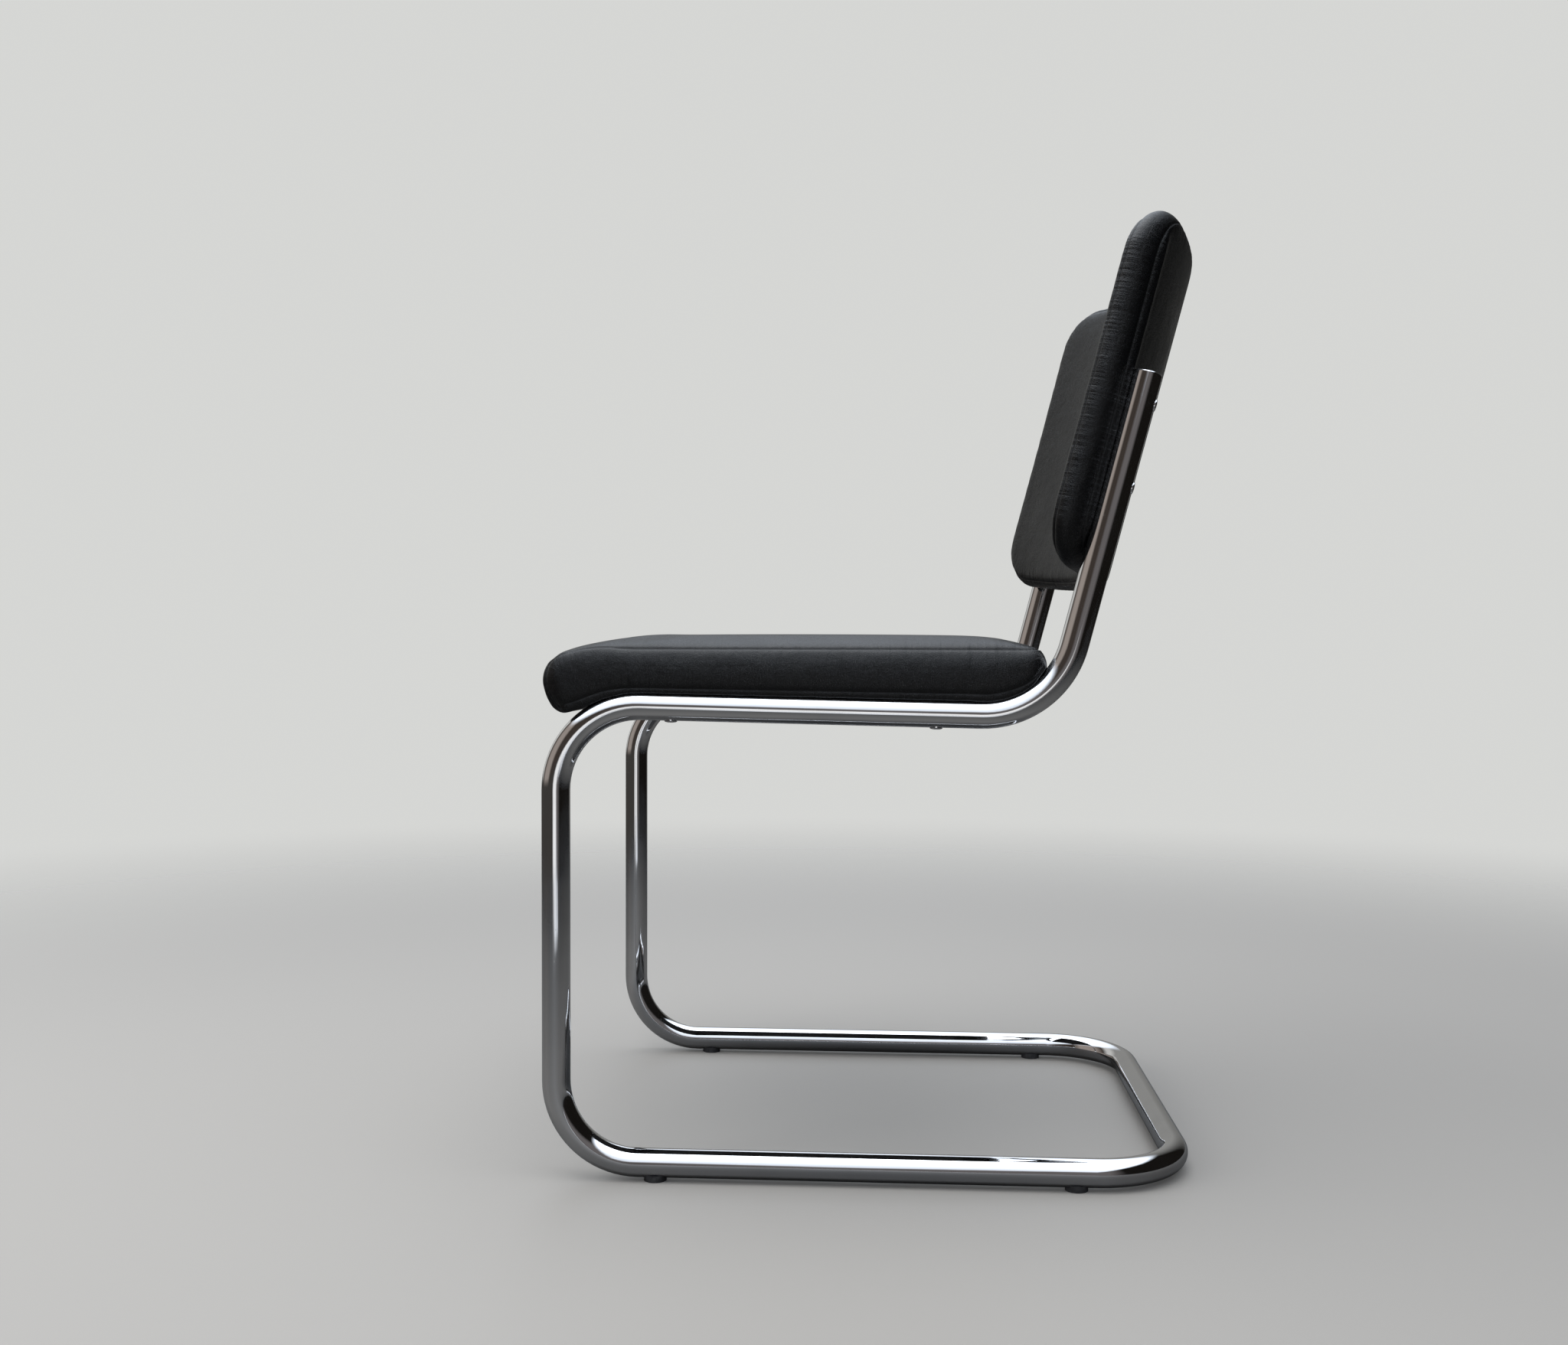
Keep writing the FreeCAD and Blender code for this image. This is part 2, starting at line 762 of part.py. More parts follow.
def seat_band_outline():
    """The part of the side view that the side band covers: below the seam, inside the nose."""
    seam = size("seat_seam_height")
    nose = size("seat_nose_radius")
    nose_centre = (front_y - size("seat_front_reach") + nose, size("seat_nose_height"))
    inner_nose = nose - NOSE_WRAP
    nose_top = on_circle(nose_centre, inner_nose, NOSE_TOP_ANGLE)
    nose_foot = on_circle(nose_centre, inner_nose, NOSE_FOOT_ANGLE)
    seam_start = (front_y + size("seat_seam_start"), seam)
    lip_y = front_y + size("seat_lip_setback") + BAND_LIP_BACK
    lip = (lip_y, size("seat_lip_height") + NOSE_WRAP)
    below = size("seat_lip_height") - BAND_SPARE_BELOW
    behind = front_y + size("seat_rear_reach") + BAND_SPARE_BEHIND
    return [
        line((behind, seam), seam_start),
        heading_arc(seam_start, 180, nose_top),
        arc(nose_top, on_circle(nose_centre, inner_nose, NOSE_MIDDLE_ANGLE), nose_foot),
        line(nose_foot, lip),
        line(lip, (front_y + size("seat_seam_foot"), below)),
        line((front_y + size("seat_seam_foot"), below), (behind, below)),
        line((behind, below), (behind, seam)),
    ]


def seat_board_outline():
    """Moulded plywood from the side: straight along the rails, curved down at the front."""
    under = size("leather") - BOARD_OVERCUT
    over = size("leather") + size("seat_board_thickness")
    rear_reach = size("seat_board_length")
    normal = (math.sin(slope), math.cos(slope))
    along = (math.cos(slope), -math.sin(slope))

    def above(point, rise):
        return (point[0] + rise * normal[0], point[1] + rise * normal[1])

    def rear(rise):
        return (
            rest_front[0] + rear_reach * along[0] + rise * normal[0],
            rest_front[1] + rear_reach * along[1] + rise * normal[1],
        )

    start_angle = 90 - size("rail_slope")
    middle_angle = (start_angle + BOARD_TIP_ANGLE) / 2
    inner_radius = front_rest_radius + under
    outer_radius = front_rest_radius + over
    inner_tip = on_circle(front_bend_centre, inner_radius, BOARD_TIP_ANGLE)
    outer_tip = on_circle(front_bend_centre, outer_radius, BOARD_TIP_ANGLE)
    return [
        line(above(rest_front, under), rear(under)),
        line(rear(under), rear(over)),
        line(rear(over), above(rest_front, over)),
        arc(
            above(rest_front, over),
            on_circle(front_bend_centre, outer_radius, middle_angle),
            outer_tip,
        ),
        line(outer_tip, inner_tip),
        arc(
            inner_tip,
            on_circle(front_bend_centre, inner_radius, middle_angle),
            above(rest_front, under),
        ),
    ]


def make_seat():
    """Board, foam, leather and under-cover of the seat; returns its exported pieces."""
    half = size("seat_width") / 2
    front_edge = front_y - size("seat_front_reach")
    rear_edge = front_y + size("seat_rear_reach")
    leather = cell("leather")

    side = free_sketch("seat_side", SIDE_PLANE, seat_side_outline())
    front = free_sketch("seat_front", FRONT_PLANE, seat_front_outline())
    top = free_sketch(
        "seat_top",
        TOP_PLANE,
        rounded_outline(
            half, front_edge, rear_edge, size("seat_front_corner"), size("seat_rear_corner")
        ),
    )
    outer = common(
        "seat_outer",
        extruded("seat_side_solid", side),
        extruded("seat_front_solid", front),
        extruded("seat_top_solid", top),
    )
    inner = common(
        "seat_inner",
        extruded("seat_side_core", inset_outline("seat_side_inset", side, leather)),
        extruded("seat_front_core", inset_outline("seat_front_inset", front, leather)),
        extruded("seat_top_core", inset_outline("seat_top_inset", top, leather)),
    )
    skin = cut("seat_skin", outer, inner)

    # The leather turns under the board and leaves an opening that the under-cover fills.
    turn = size("leather_turn")
    opening = extruded(
        "seat_opening",
        free_sketch(
            "seat_opening_outline",
            TOP_PLANE,
            rounded_outline(
                half - turn,
                front_y + size("seat_seam_foot"),
                rear_edge - size("seat_rear_corner"),
                OPENING_CORNER,
                OPENING_CORNER,
            ),
        ),
        rest_front[1] + OPENING_CLEAR,
    )
    rim = cut("seat_skin_open", skin, opening)
    band_region = extruded(
        "seat_band_region", free_sketch("seat_band_side", SIDE_PLANE, seat_band_outline())
    )
    seat_fasteners = (
        make_screws(
            "seat_screws",
            rail_point(size("seat_screw_from_bend")),
            -size("rail_slope"),
            "seat_screw_spacing",
            "seat_screw_length",
        ),
        make_tee_nuts(),
    )
    hardware = fused("seat_hardware", *seat_fasteners)
    band_whole = common("seat_band_whole", rim, band_region)
    side_band = named(cut("seat_band_drilled", band_whole, hardware), "seat_side_band")
    top_panel = named(cut("seat_panel", rim, band_region), "seat_top_panel")

    cover_region = extruded(
        "seat_cover_region",
        free_sketch(
            "seat_cover_outline",
            TOP_PLANE,
            rounded_outline(
                half - turn - COVER_GAP,
                front_y + size("seat_seam_foot") + COVER_GAP,
                rear_edge - size("seat_rear_corner") - COVER_GAP,
                OPENING_CORNER,
                OPENING_CORNER,
            ),
        ),
        rest_front[1] + OPENING_CLEAR,
    )
    above_cover = extruded(
        "seat_above_cover",
        inset_outline("seat_cover_inset", side, cell("dust_cover_thickness")),
    )
    cover_slab = common("seat_cover_slab", outer, cover_region)
    under_cover = named(cut("seat_cover", cover_slab, above_cover), "seat_under_cover")

    board_blank = common(
        "seat_board_blank",
        inner,
        extruded(
            "seat_board_side_solid",
            free_sketch("seat_board_side", SIDE_PLANE, seat_board_outline()),
            half - size("seat_board_inset"),
        ),
    )
    board = named(cut("seat_board_drilled", board_blank, hardware), "seat_board")
    foam_blank = cut("seat_foam_blank", inner, board_blank)
    foam = named(cut("seat_foam_pocketed", foam_blank, hardware), "seat_foam")
    return [board, foam, top_panel, side_band, under_cover, *seat_fasteners]


def make_tee_nuts():
    """Four flanged nuts pressed into the seat board from above."""
    bore = size("screw_diameter") / 2
    flange_foot = tube_radius + size("leather") + size("seat_board_thickness")
    flange_top = flange_foot + size("tee_flange_thickness")
    barrel_foot = flange_foot - size("tee_barrel_length")
    barrel = size("tee_barrel_diameter") / 2
    flange = size("tee_flange_diameter") / 2
    return make_turned_four(
        "seat_tee_nuts",
        rail_point(size("seat_screw_from_bend")),
        -size("rail_slope"),
        "seat_screw_spacing",
        [
            (bore, barrel_foot),
            (barrel, barrel_foot),
            (barrel, flange_foot),
            (flange, flange_foot),
            (flange, flange_top),
            (bore, flange_top),
        ],
    )


# The back is drawn upright, with its screws pointing forward from the rear of the tubes, and
# its finished pieces are then leaned and moved to their place.
BACK_PLACE = FreeCAD.Placement(
    V(0, *back_corner), FreeCAD.Rotation(V(1, 0, 0), -size("back_lean"))
)
BACK_SCREW_PLACE = ((0, size("back_screw_low")), 90)


def placed_back(source, label):
    """The finished piece, moved from the upright drawing of the back to its leaning place."""
    piece = doc.addObject("Part::Compound", label)
    piece.Links = [source]
    piece.Placement = BACK_PLACE
    return named(piece, label)


def back_pad_section(inset=0.0):
    """The back's section at its middle, as (rearward, up): crowned front, plain rear."""
    low, high = size("back_bottom") + inset, size("back_top") - inset
    middle = (low + high) / 2
    rear = size("back_bow") - inset
    front = size("back_bow") - size("back_band") + inset
    seam = front + size("back_front_roll")
    shoulder = front - size("back_front_crown") / 2
    roll = size("back_roll_length")
    return [
        line((seam, low), (rear, low)),
        line((rear, low), (rear, high)),
        line((rear, high), (seam, high)),
        heading_arc((shoulder, high - roll), 90 - ROLL_LEAN, (seam, high)),
        arc(
            (shoulder, high - roll),
            (front - size("back_front_crown"), middle),
            (shoulder, low + roll),
        ),
        heading_arc((shoulder, low + roll), ROLL_LEAN - 90, (seam, low)),
    ]


def back_bow_outline(inset=0.0):
    """The back from above, as (across, rearward): what rolls the leather over at the sides."""
    half = size("back_width") / 2 - inset
    axis = size("back_bow") - size("back_curve")
    seam_radius = size("back_curve") - size("back_band") + size("back_front_roll") + inset
    roll_radius = seam_radius - size("back_front_roll") - size("back_front_crown")
    roll_x = half - size("back_roll_length")
    seam_y = axis + math.sqrt(seam_radius**2 - half**2)
    roll_y = axis + math.sqrt(roll_radius**2 - roll_x**2)
    heading = -math.degrees(math.asin(roll_x / roll_radius))
    behind = 2 * size("back_bow")
    return [
        line((-half, behind), (half, behind)),
        line((half, behind), (half, seam_y)),
        heading_arc((roll_x, roll_y), heading, (half, seam_y)),
        line((roll_x, roll_y), (-roll_x, roll_y)),
        heading_arc((-roll_x, roll_y), 180 - heading, (-half, seam_y)),
        line((-half, seam_y), (-half, behind)),
    ]


def back_solid(name, inset):
    """The whole back, or what is left of it inside a skin of a given thickness."""
    section = free_sketch(name + "_section", SIDE_PLANE, back_pad_section(inset))
    bow = free_sketch(name + "_bow", TOP_PLANE, back_bow_outline(inset))
    face = free_sketch(name + "_face", FRONT_PLANE, back_face_outline(inset))
    return common(
        name,
        turned_about_curve(name + "_turned", section),
        extruded(name + "_upright", bow, 2 * size("back_top")),
        extruded(name + "_through", face, size("back_width")),
    )


def back_face_outline(inset=0.0):
    """The back from the front: a rectangle with round corners."""
    return rounded_outline(
        size("back_width") / 2 - inset,
        size("back_bottom") + inset,
        size("back_top") - inset,
        size("back_corner") - inset,
        size("back_corner") - inset,
    )


def turned_about_curve(name, source):
    """Sweeps a section of the back round the upright axis of its curve."""
    solid = doc.addObject("Part::Revolution", name)
    solid.Source = source
    solid.Base = V(0, size("back_bow") - size("back_curve"), 0)
    solid.Axis = V(0, 0, 1)
    solid.Angle = BACK_SWEEP
    solid.Symmetric = True
    solid.Solid = True
    return solid


def seam_cylinder(name, radius):
    """A tall cylinder about the axis of the back's curve, for parting the leather at a seam."""
    cylinder = doc.addObject("Part::Cylinder", name)
    cylinder.Radius = radius
    cylinder.Height = 2 * size("back_top")
    cylinder.Placement = FreeCAD.Placement(
        V(0, size("back_bow") - size("back_curve"), -size("back_top") / 2),
        FreeCAD.Rotation(),
    )
    return cylinder


def make_back():
    """Board, foam and leather of the back; returns its exported pieces."""
    outer = back_solid("back_outer", 0.0)
    inner = back_solid("back_inner", size("leather"))
    skin = cut("back_skin", outer, inner)
    screws = make_screws(
        "back_screws_upright", *BACK_SCREW_PLACE, "back_screw_spacing", "back_screw_length"
    )
    inserts = make_inserts()
    hardware = fused("back_hardware", screws, inserts)

    # The leather parts at two seams: behind the front's roll and in front of the rear edge.
    front_core = seam_cylinder(
        "back_front_core", size("back_curve") - size("back_band") + size("back_front_roll")
    )
    rear_core = seam_cylinder("back_rear_core", size("back_curve") - size("back_rear_roll"))
    front_panel = common("back_front", skin, front_core)
    behind_front = cut("back_behind_front", skin, front_core)
    side_band = common("back_band", behind_front, rear_core)
    rear_whole = cut("back_rear_whole", skin, rear_core)
    rear_panel = cut("back_rear", rear_whole, hardware)

    board_rear = size("back_bow") - size("leather") - BACK_WADDING
    board_front = board_rear - size("back_board_thickness")
    inset = size("back_board_inset")
    low, high = size("back_bottom") + inset, size("back_top") - inset
    board_section = doc.addObject("Sketcher::SketchObject", "back_board_section")
    board_section.Placement = SIDE_PLANE
    close_polygon(
        board_section,
        [(board_front, low), (board_rear, low), (board_rear, high), (board_front, high)],
    )
    board_face = free_sketch("back_board_face", FRONT_PLANE, back_face_outline(inset))
    board_blank = common(
        "back_board_blank",
        turned_about_curve("back_board_turned", board_section),
        extruded("back_board_through", board_face, size("back_width")),
    )
    board = cut("back_board_drilled", board_blank, hardware)
    foam_blank = cut("back_foam_blank", inner, board_blank)
    foam = cut("back_foam_pocketed", foam_blank, hardware)
    return [
        placed_back(board, "back_board"),
        placed_back(foam, "back_foam"),
        placed_back(front_panel, "back_front_panel"),
        placed_back(side_band, "back_side_band"),
        placed_back(rear_panel, "back_rear_panel"),
        placed_back(screws, "back_screws"),
        placed_back(inserts, "back_inserts"),
    ]


def make_inserts():
    """Four threaded sleeves sunk in the back board, in line with the back screws."""
    bore = size("screw_diameter") / 2
    sleeve = size("insert_diameter") / 2
    tip = size("back_screw_length") - tube_radius + INSERT_PAST_TIP
    foot = tip - size("insert_length")
    return make_turned_four(
        "back_inserts_upright",
        *BACK_SCREW_PLACE,
        "back_screw_spacing",
        [(bore, foot), (sleeve, foot), (sleeve, tip), (bore, tip)],
    )


def drill_glide_holes(body, places):
    """A hole in the underside of the tube for each glide's peg."""
    outline = new_sketch(body, "glide_holes_outline", "XY_Plane")
    radius = size("glide_peg_diameter") / 2
    for x, y in places:
        outline.addGeometry(Part.Circle(V(x, y, 0), V(0, 0, 1), radius), False)
    before = body.Shape.Volume
    holes = body.newObject("PartDesign::Pocket", "glide_holes")
    holes.Profile = outline
    holes.Reversed = True
    holes.setExpression("Length", f"{cell('glide_height')} + {cell('tube_diameter')} / 2")
    body.Tip = holes
    doc.recompute()
    check_cut("glide holes", before, body.Shape.Volume)


front_glide_y = floor_bend_centre[0] + size("glide_inset")
rear_glide_y = floor_end_y - size("glide_inset")
GLIDES = {
    "glide_front_left": (half_track, front_glide_y),
    "glide_front_right": (-half_track, front_glide_y),
    "glide_rear_left": (half_track, rear_glide_y),
    "glide_rear_right": (-half_track, rear_glide_y),
}

tube_frame = make_tube_frame()
drill_glide_holes(tube_frame, GLIDES.values())
pieces = [tube_frame]
pieces += [make_end_plug("tube_cap_left", 1), make_end_plug("tube_cap_right", -1)]
pieces += [make_glide(label, *place) for label, place in GLIDES.items()]
pieces += make_seat()
pieces += make_back()
doc.recompute()

broken = [
    item.Name for item in doc.Objects if "Invalid" in item.State or "Error" in item.State
]
if broken:
    raise RuntimeError(f"failed objects: {broken}")

os.makedirs("parts", exist_ok=True)
box = FreeCAD.BoundBox()
for piece in pieces:
    shape = piece.Shape
    if shape.isNull() or not shape.isValid():
        raise RuntimeError(f"bad shape: {piece.Label}")
    shape.exportStep(f"parts/{piece.Label}.step")
    box.add(shape.optimalBoundingBox())
    print(f"{piece.Label}: {len(shape.Solids)} solids, {shape.Volume / 1000:.2f} cm3")
print("box", [round(value, 2) for value in (box.XMin, box.YMin, box.ZMin)])
print("to", [round(value, 2) for value in (box.XMax, box.YMax, box.ZMax)])
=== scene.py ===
# %% [markdown]
# # A cantilever chair, dressed in chrome and leather
# The chair has one bent steel tube and two upholstered pads. The tube, the pads, the screws and
# the plugs already exist as plain solids at their real size. This lesson gives them their looks:
# plated tube, sewn leather, a cloth cover below the seat, and soft studio light. Every length is
# in metres. The sitter faces -Y, +X is the sitter's left and +Z is up.

import math

import bpy
import numpy as np
from mathutils import Matrix, Vector
from mathutils.kdtree import KDTree


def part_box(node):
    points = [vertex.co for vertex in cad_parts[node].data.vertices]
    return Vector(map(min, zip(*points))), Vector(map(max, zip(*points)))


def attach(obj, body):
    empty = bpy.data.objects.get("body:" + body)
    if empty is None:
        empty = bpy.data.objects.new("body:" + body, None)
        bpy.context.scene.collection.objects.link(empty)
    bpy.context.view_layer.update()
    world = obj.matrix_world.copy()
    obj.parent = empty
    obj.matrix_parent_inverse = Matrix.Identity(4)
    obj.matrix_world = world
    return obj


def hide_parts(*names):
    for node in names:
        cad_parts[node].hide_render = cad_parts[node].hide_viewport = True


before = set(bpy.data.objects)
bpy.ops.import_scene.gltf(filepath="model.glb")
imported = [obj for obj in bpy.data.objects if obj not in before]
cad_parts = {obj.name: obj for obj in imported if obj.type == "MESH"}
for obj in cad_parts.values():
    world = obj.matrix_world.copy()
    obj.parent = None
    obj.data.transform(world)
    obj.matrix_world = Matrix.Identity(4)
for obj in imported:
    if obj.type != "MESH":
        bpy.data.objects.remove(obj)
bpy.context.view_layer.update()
MM = 0.001

# %% [markdown]
# ## Camera
# The chair is seen squarely from its left side, from a little above seat height. The lens and the
# place were worked out from the tube's edges, so the camera only has to be put there. A small
# shift frames the chair left of the middle, as a tilt would bend the uprights.

# %% Camera
PHOTO_WIDTH = 2048
camera_data = bpy.data.cameras.new("camera")
camera_data.sensor_width = 36.0
camera_data.lens = 36.26
camera_data.shift_x = -9.72 / PHOTO_WIDTH
camera_data.shift_y = 41.82 / PHOTO_WIDTH
camera = bpy.data.objects.new("camera", camera_data)
camera.location = (1.5867, 0.0061, 0.4673)
camera.rotation_euler = [math.radians(angle) for angle in (87.966, -0.2235, 93.475)]
bpy.context.scene.collection.objects.link(camera)
bpy.context.scene.camera = camera
bpy.context.scene.view_settings.view_transform = "Standard"
print("camera at", tuple(camera.location))

# %% [markdown]
# ## Helpers for selecting and applying
# An operator works on everything that is selected, and loading the chair leaves its nodes
# selected. So each piece starts by clearing the selection, and picks its own vertices by their
# place.


# %% Selection helpers
def take(piece):
    """Selects one object and makes it the active one."""
    bpy.ops.object.select_all(action="DESELECT")
    piece.select_set(True)
    bpy.context.view_layer.objects.active = piece


def edit(piece, mode="VERT", action="DESELECT"):
    """Opens edit mode with nothing selected, or with everything."""
    take(piece)
    bpy.ops.object.mode_set(mode="EDIT")
    bpy.ops.mesh.select_mode(type=mode)
    bpy.ops.mesh.select_all(action=action)


def close_edit():
    bpy.ops.object.mode_set(mode="OBJECT")


def face_outward(piece):
    """Turns all faces of a closed piece outward."""
    edit(piece, action="SELECT")
    bpy.ops.mesh.normals_make_consistent(inside=False)
    close_edit()


def set_all(thing, values):
    for key, value in values.items():
        setattr(thing, key, value)


def apply_modifier(piece, kind, **settings):
    """Adds a modifier, sets it and applies it at once."""
    take(piece)
    modifier = piece.modifiers.new(kind.lower(), kind)
    set_all(modifier, settings)
    bpy.ops.object.modifier_apply(modifier=modifier.name)


def settle(piece):
    """Puts the object at the origin, with its place in its mesh."""
    take(piece)
    bpy.ops.object.transform_apply(location=True, rotation=True, scale=True)


def points_of(piece):
    flat = np.empty(len(piece.data.vertices) * 3)
    piece.data.vertices.foreach_get("co", flat)
    return flat.reshape(-1, 3)


def set_points(piece, points):
    piece.data.vertices.foreach_set("co", np.asarray(points, float).ravel())
    piece.data.update()


def finish_piece(piece, name, material, slot, *nodes):
    """Names a piece, gives it its material and its place on the chair. The slot is not used."""
    piece.name = name
    piece.data.name = name
    piece.data.materials.clear()
    piece.data.materials.append(material)
    if nodes:
        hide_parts(*nodes)
    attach(piece, "root")
    points = points_of(piece).round(4)
    print(name, len(piece.data.polygons), "faces, from", points.min(0), "to", points.max(0))


# %% [markdown]
# ## Node helpers
# Materials are built from nodes in code. Small helpers keep that readable: sums, products, soft
# steps and blends can then be written like a formula. Each output knows the tree that it belongs
# to.


# %% Node helpers
def add_node(tree, kind, inputs=None, **settings):
    node = tree.nodes.new(kind)
    set_all(node, settings)
    for key, value in (inputs or {}).items():
        node.inputs[key].default_value = value
    return node


def wire(value, target):
    """Feeds an input with an output of another node, a number or an RGB tuple."""
    if isinstance(value, (int, float)):
        target.default_value = value
    elif isinstance(value, tuple):
        target.default_value = (*value, 1)
    else:
        target.id_data.links.new(value, target)


def arithmetic(operation, *values):
    """Math nodes on two or more values, numbers or outputs, worked out from the left."""
    tree = next(value.id_data for value in values if not isinstance(value, (int, float)))
    result = values[0]
    for value in values[1:]:
        node = add_node(tree, "ShaderNodeMath", operation=operation)
        wire(result, node.inputs[0])
        wire(value, node.inputs[1])
        result = node.outputs[0]
    return result


def plus(*values):
    return arithmetic("ADD", *values)


def times(*values):
    return arithmetic("MULTIPLY", *values)


def soft_step(value, low, high):
    """Rises smoothly from 0 to 1 while a value goes from low to high."""
    reach = {"From Min": low, "From Max": high}
    node = add_node(value.id_data, "ShaderNodeMapRange", reach, interpolation_type="SMOOTHSTEP")
    wire(value, node.inputs["Value"])
    return node.outputs["Result"]


def blend_colour(factor, first, second):
    """Mixes two colours, each an RGB tuple or an output, by a value."""
    node = add_node(factor.id_data, "ShaderNodeMix", data_type="RGBA")
    for key, value in {"Factor": factor, "A": first, "B": second}.items():
        wire(value, node.inputs[key])
    return node.outputs["Result"]


def ramp(source, stops):
    """A colour ramp with (place, colour) stops."""
    node = add_node(source.id_data, "ShaderNodeValToRGB")
    wire(source, node.inputs["Fac"])
    while len(node.color_ramp.elements) < len(stops):
        node.color_ramp.elements.new(0.5)
    for element, (place, colour) in zip(node.color_ramp.elements, stops):
        element.position = place
        element.color = (*colour, 1)
    return node.outputs["Color"]


def object_place(tree):
    return add_node(tree, "ShaderNodeTexCoord").outputs["Object"]


def noise(place, scale, detail, roughness=0.5, distortion=0.0):
    """The outputs of a noise texture that is read at a place."""
    inputs = {"Scale": scale, "Detail": detail, "Roughness": roughness, "Distortion": distortion}
    node = add_node(place.id_data, "ShaderNodeTexNoise", inputs)
    wire(place, node.inputs["Vector"])
    return node.outputs


# %% [markdown]
# ## Room and light
# Chrome has no colour of its own: it shows the room, and in an all pale room it would vanish. So
# the room is painted as a photographer lights plated metal, with dark flags and bright strips set
# round it. Only reflections see them: the camera sees one pale wall, and soft light comes from a
# plain sky. The chrome and the leather both mirror a shaded wall behind the chair, a bright
# ceiling, black and brown flags to the front and rear, and two strips that draw the long thin
# highlights on the tube.

# %% World
WALL = (0.67, 0.675, 0.66)
SOFT_SKY = (0.60, 0.64, 0.70)
CEILING = (0.95, 1.02, 1.12)
OVERHEAD = (1.6, 1.75, 1.95)
BLACK_FLAG = (0.008, 0.007, 0.006)
BROWN_FLAG = (0.05, 0.04, 0.034)
WARM_STRIP = (0.34, 0.295, 0.265)
DIM_STRIP = (0.14, 0.13, 0.13)
SHADED_WALL = (0.62, 0.62, 0.6)
FAR_WALL = (0.28, 0.28, 0.27)
BELOW = (0.05, 0.046, 0.042)
LOW_STRIP = (1.0, 1.0, 1.0)
# The places are shares of a turn, seen from above: -X, then -Y, +X at a half, and +Y. Each flag or
# strip lies at one place or reaches from one to another.
FLAGS_AND_STRIPS = [
    (0.0, 0.06, FAR_WALL),
    (0.11, 0.14, SHADED_WALL),
    (0.18, BROWN_FLAG),
    (0.24, 0.33, WARM_STRIP),
    (0.37, 0.45, BROWN_FLAG),
    (0.49, 0.56, DIM_STRIP),
    (0.61, 0.88, BLACK_FLAG),
    (0.98, 1.0, FAR_WALL),
]

world = bpy.data.worlds.new("studio")
bpy.context.scene.world = world
world.use_nodes = True
tree = world.node_tree
tree.nodes.clear()
direction = add_node(tree, "ShaderNodeTexCoord")
parts = add_node(tree, "ShaderNodeSeparateXYZ")
wire(direction.outputs["Generated"], parts.inputs[0])
across, along, upward = parts.outputs
turn = plus(arithmetic("DIVIDE", arithmetic("ARCTAN2", along, across), 2 * math.pi), 0.5)
stops = [(place, colour) for *places, colour in FLAGS_AND_STRIPS for place in places]
low = times(soft_step(upward, 0.03, -0.06), soft_step(along, 0.3, 0.05))
around = blend_colour(low, ramp(turn, stops), BELOW)
from_lens = arithmetic("ABSOLUTE", arithmetic("SUBTRACT", turn, 0.5), 0.0)
low_strip = times(soft_step(upward, 0.0, -0.05), soft_step(from_lens, 0.05, 0.02))
around = blend_colour(low_strip, around, LOW_STRIP)
# The ceiling starts low over the camera, higher to the front and the far side, highest behind.
to_front = times(arithmetic("MINIMUM", along, 0.0), -0.42)
to_rear = times(arithmetic("MAXIMUM", along, 0.0), 0.85)
to_far_side = times(arithmetic("MINIMUM", across, 0.0), -0.16)
ceiling_edge = plus(to_front, to_rear, to_far_side)
open_sky = soft_step(arithmetic("SUBTRACT", upward, ceiling_edge), 0.16, 0.34)
ceiling = blend_colour(soft_step(upward, 0.35, 0.85), CEILING, OVERHEAD)
sight = add_node(tree, "ShaderNodeLightPath").outputs
mirrored = blend_colour(open_sky, around, ceiling)
room = blend_colour(sight["Is Glossy Ray"], SOFT_SKY, mirrored)
room = blend_colour(sight["Is Camera Ray"], room, WALL)
background = add_node(tree, "ShaderNodeBackground")
wire(room, background.inputs["Color"])
wire(background.outputs[0], add_node(tree, "ShaderNodeOutputWorld").inputs["Surface"])


# %% Lamps
def softbox(name, place, aim, width, height, power, colour=(1, 1, 1)):
    """A rectangular area lamp that points from its place to an aim."""
    lamp = bpy.data.lights.new(name, "AREA")
    lamp.shape = "RECTANGLE"
    lamp.size, lamp.size_y = width, height
    lamp.energy = power
    lamp.color = colour
    box = bpy.data.objects.new(name, lamp)
    box.location = place
    box.rotation_euler = (Vector(aim) - Vector(place)).to_track_quat("-Z", "Y").to_euler()
    bpy.context.scene.collection.objects.link(box)
    return box


SEAT_MIDDLE = (0, 0, 0.45)
softbox("top_light", (0.2, -0.4, 2.6), SEAT_MIDDLE, 2.2, 2.2, 26)
window = softbox("window_light", (0.9, -2.4, 1.5), SEAT_MIDDLE, 1.6, 1.8, 22, (0.97, 0.99, 1.0))
window.visible_glossy = False
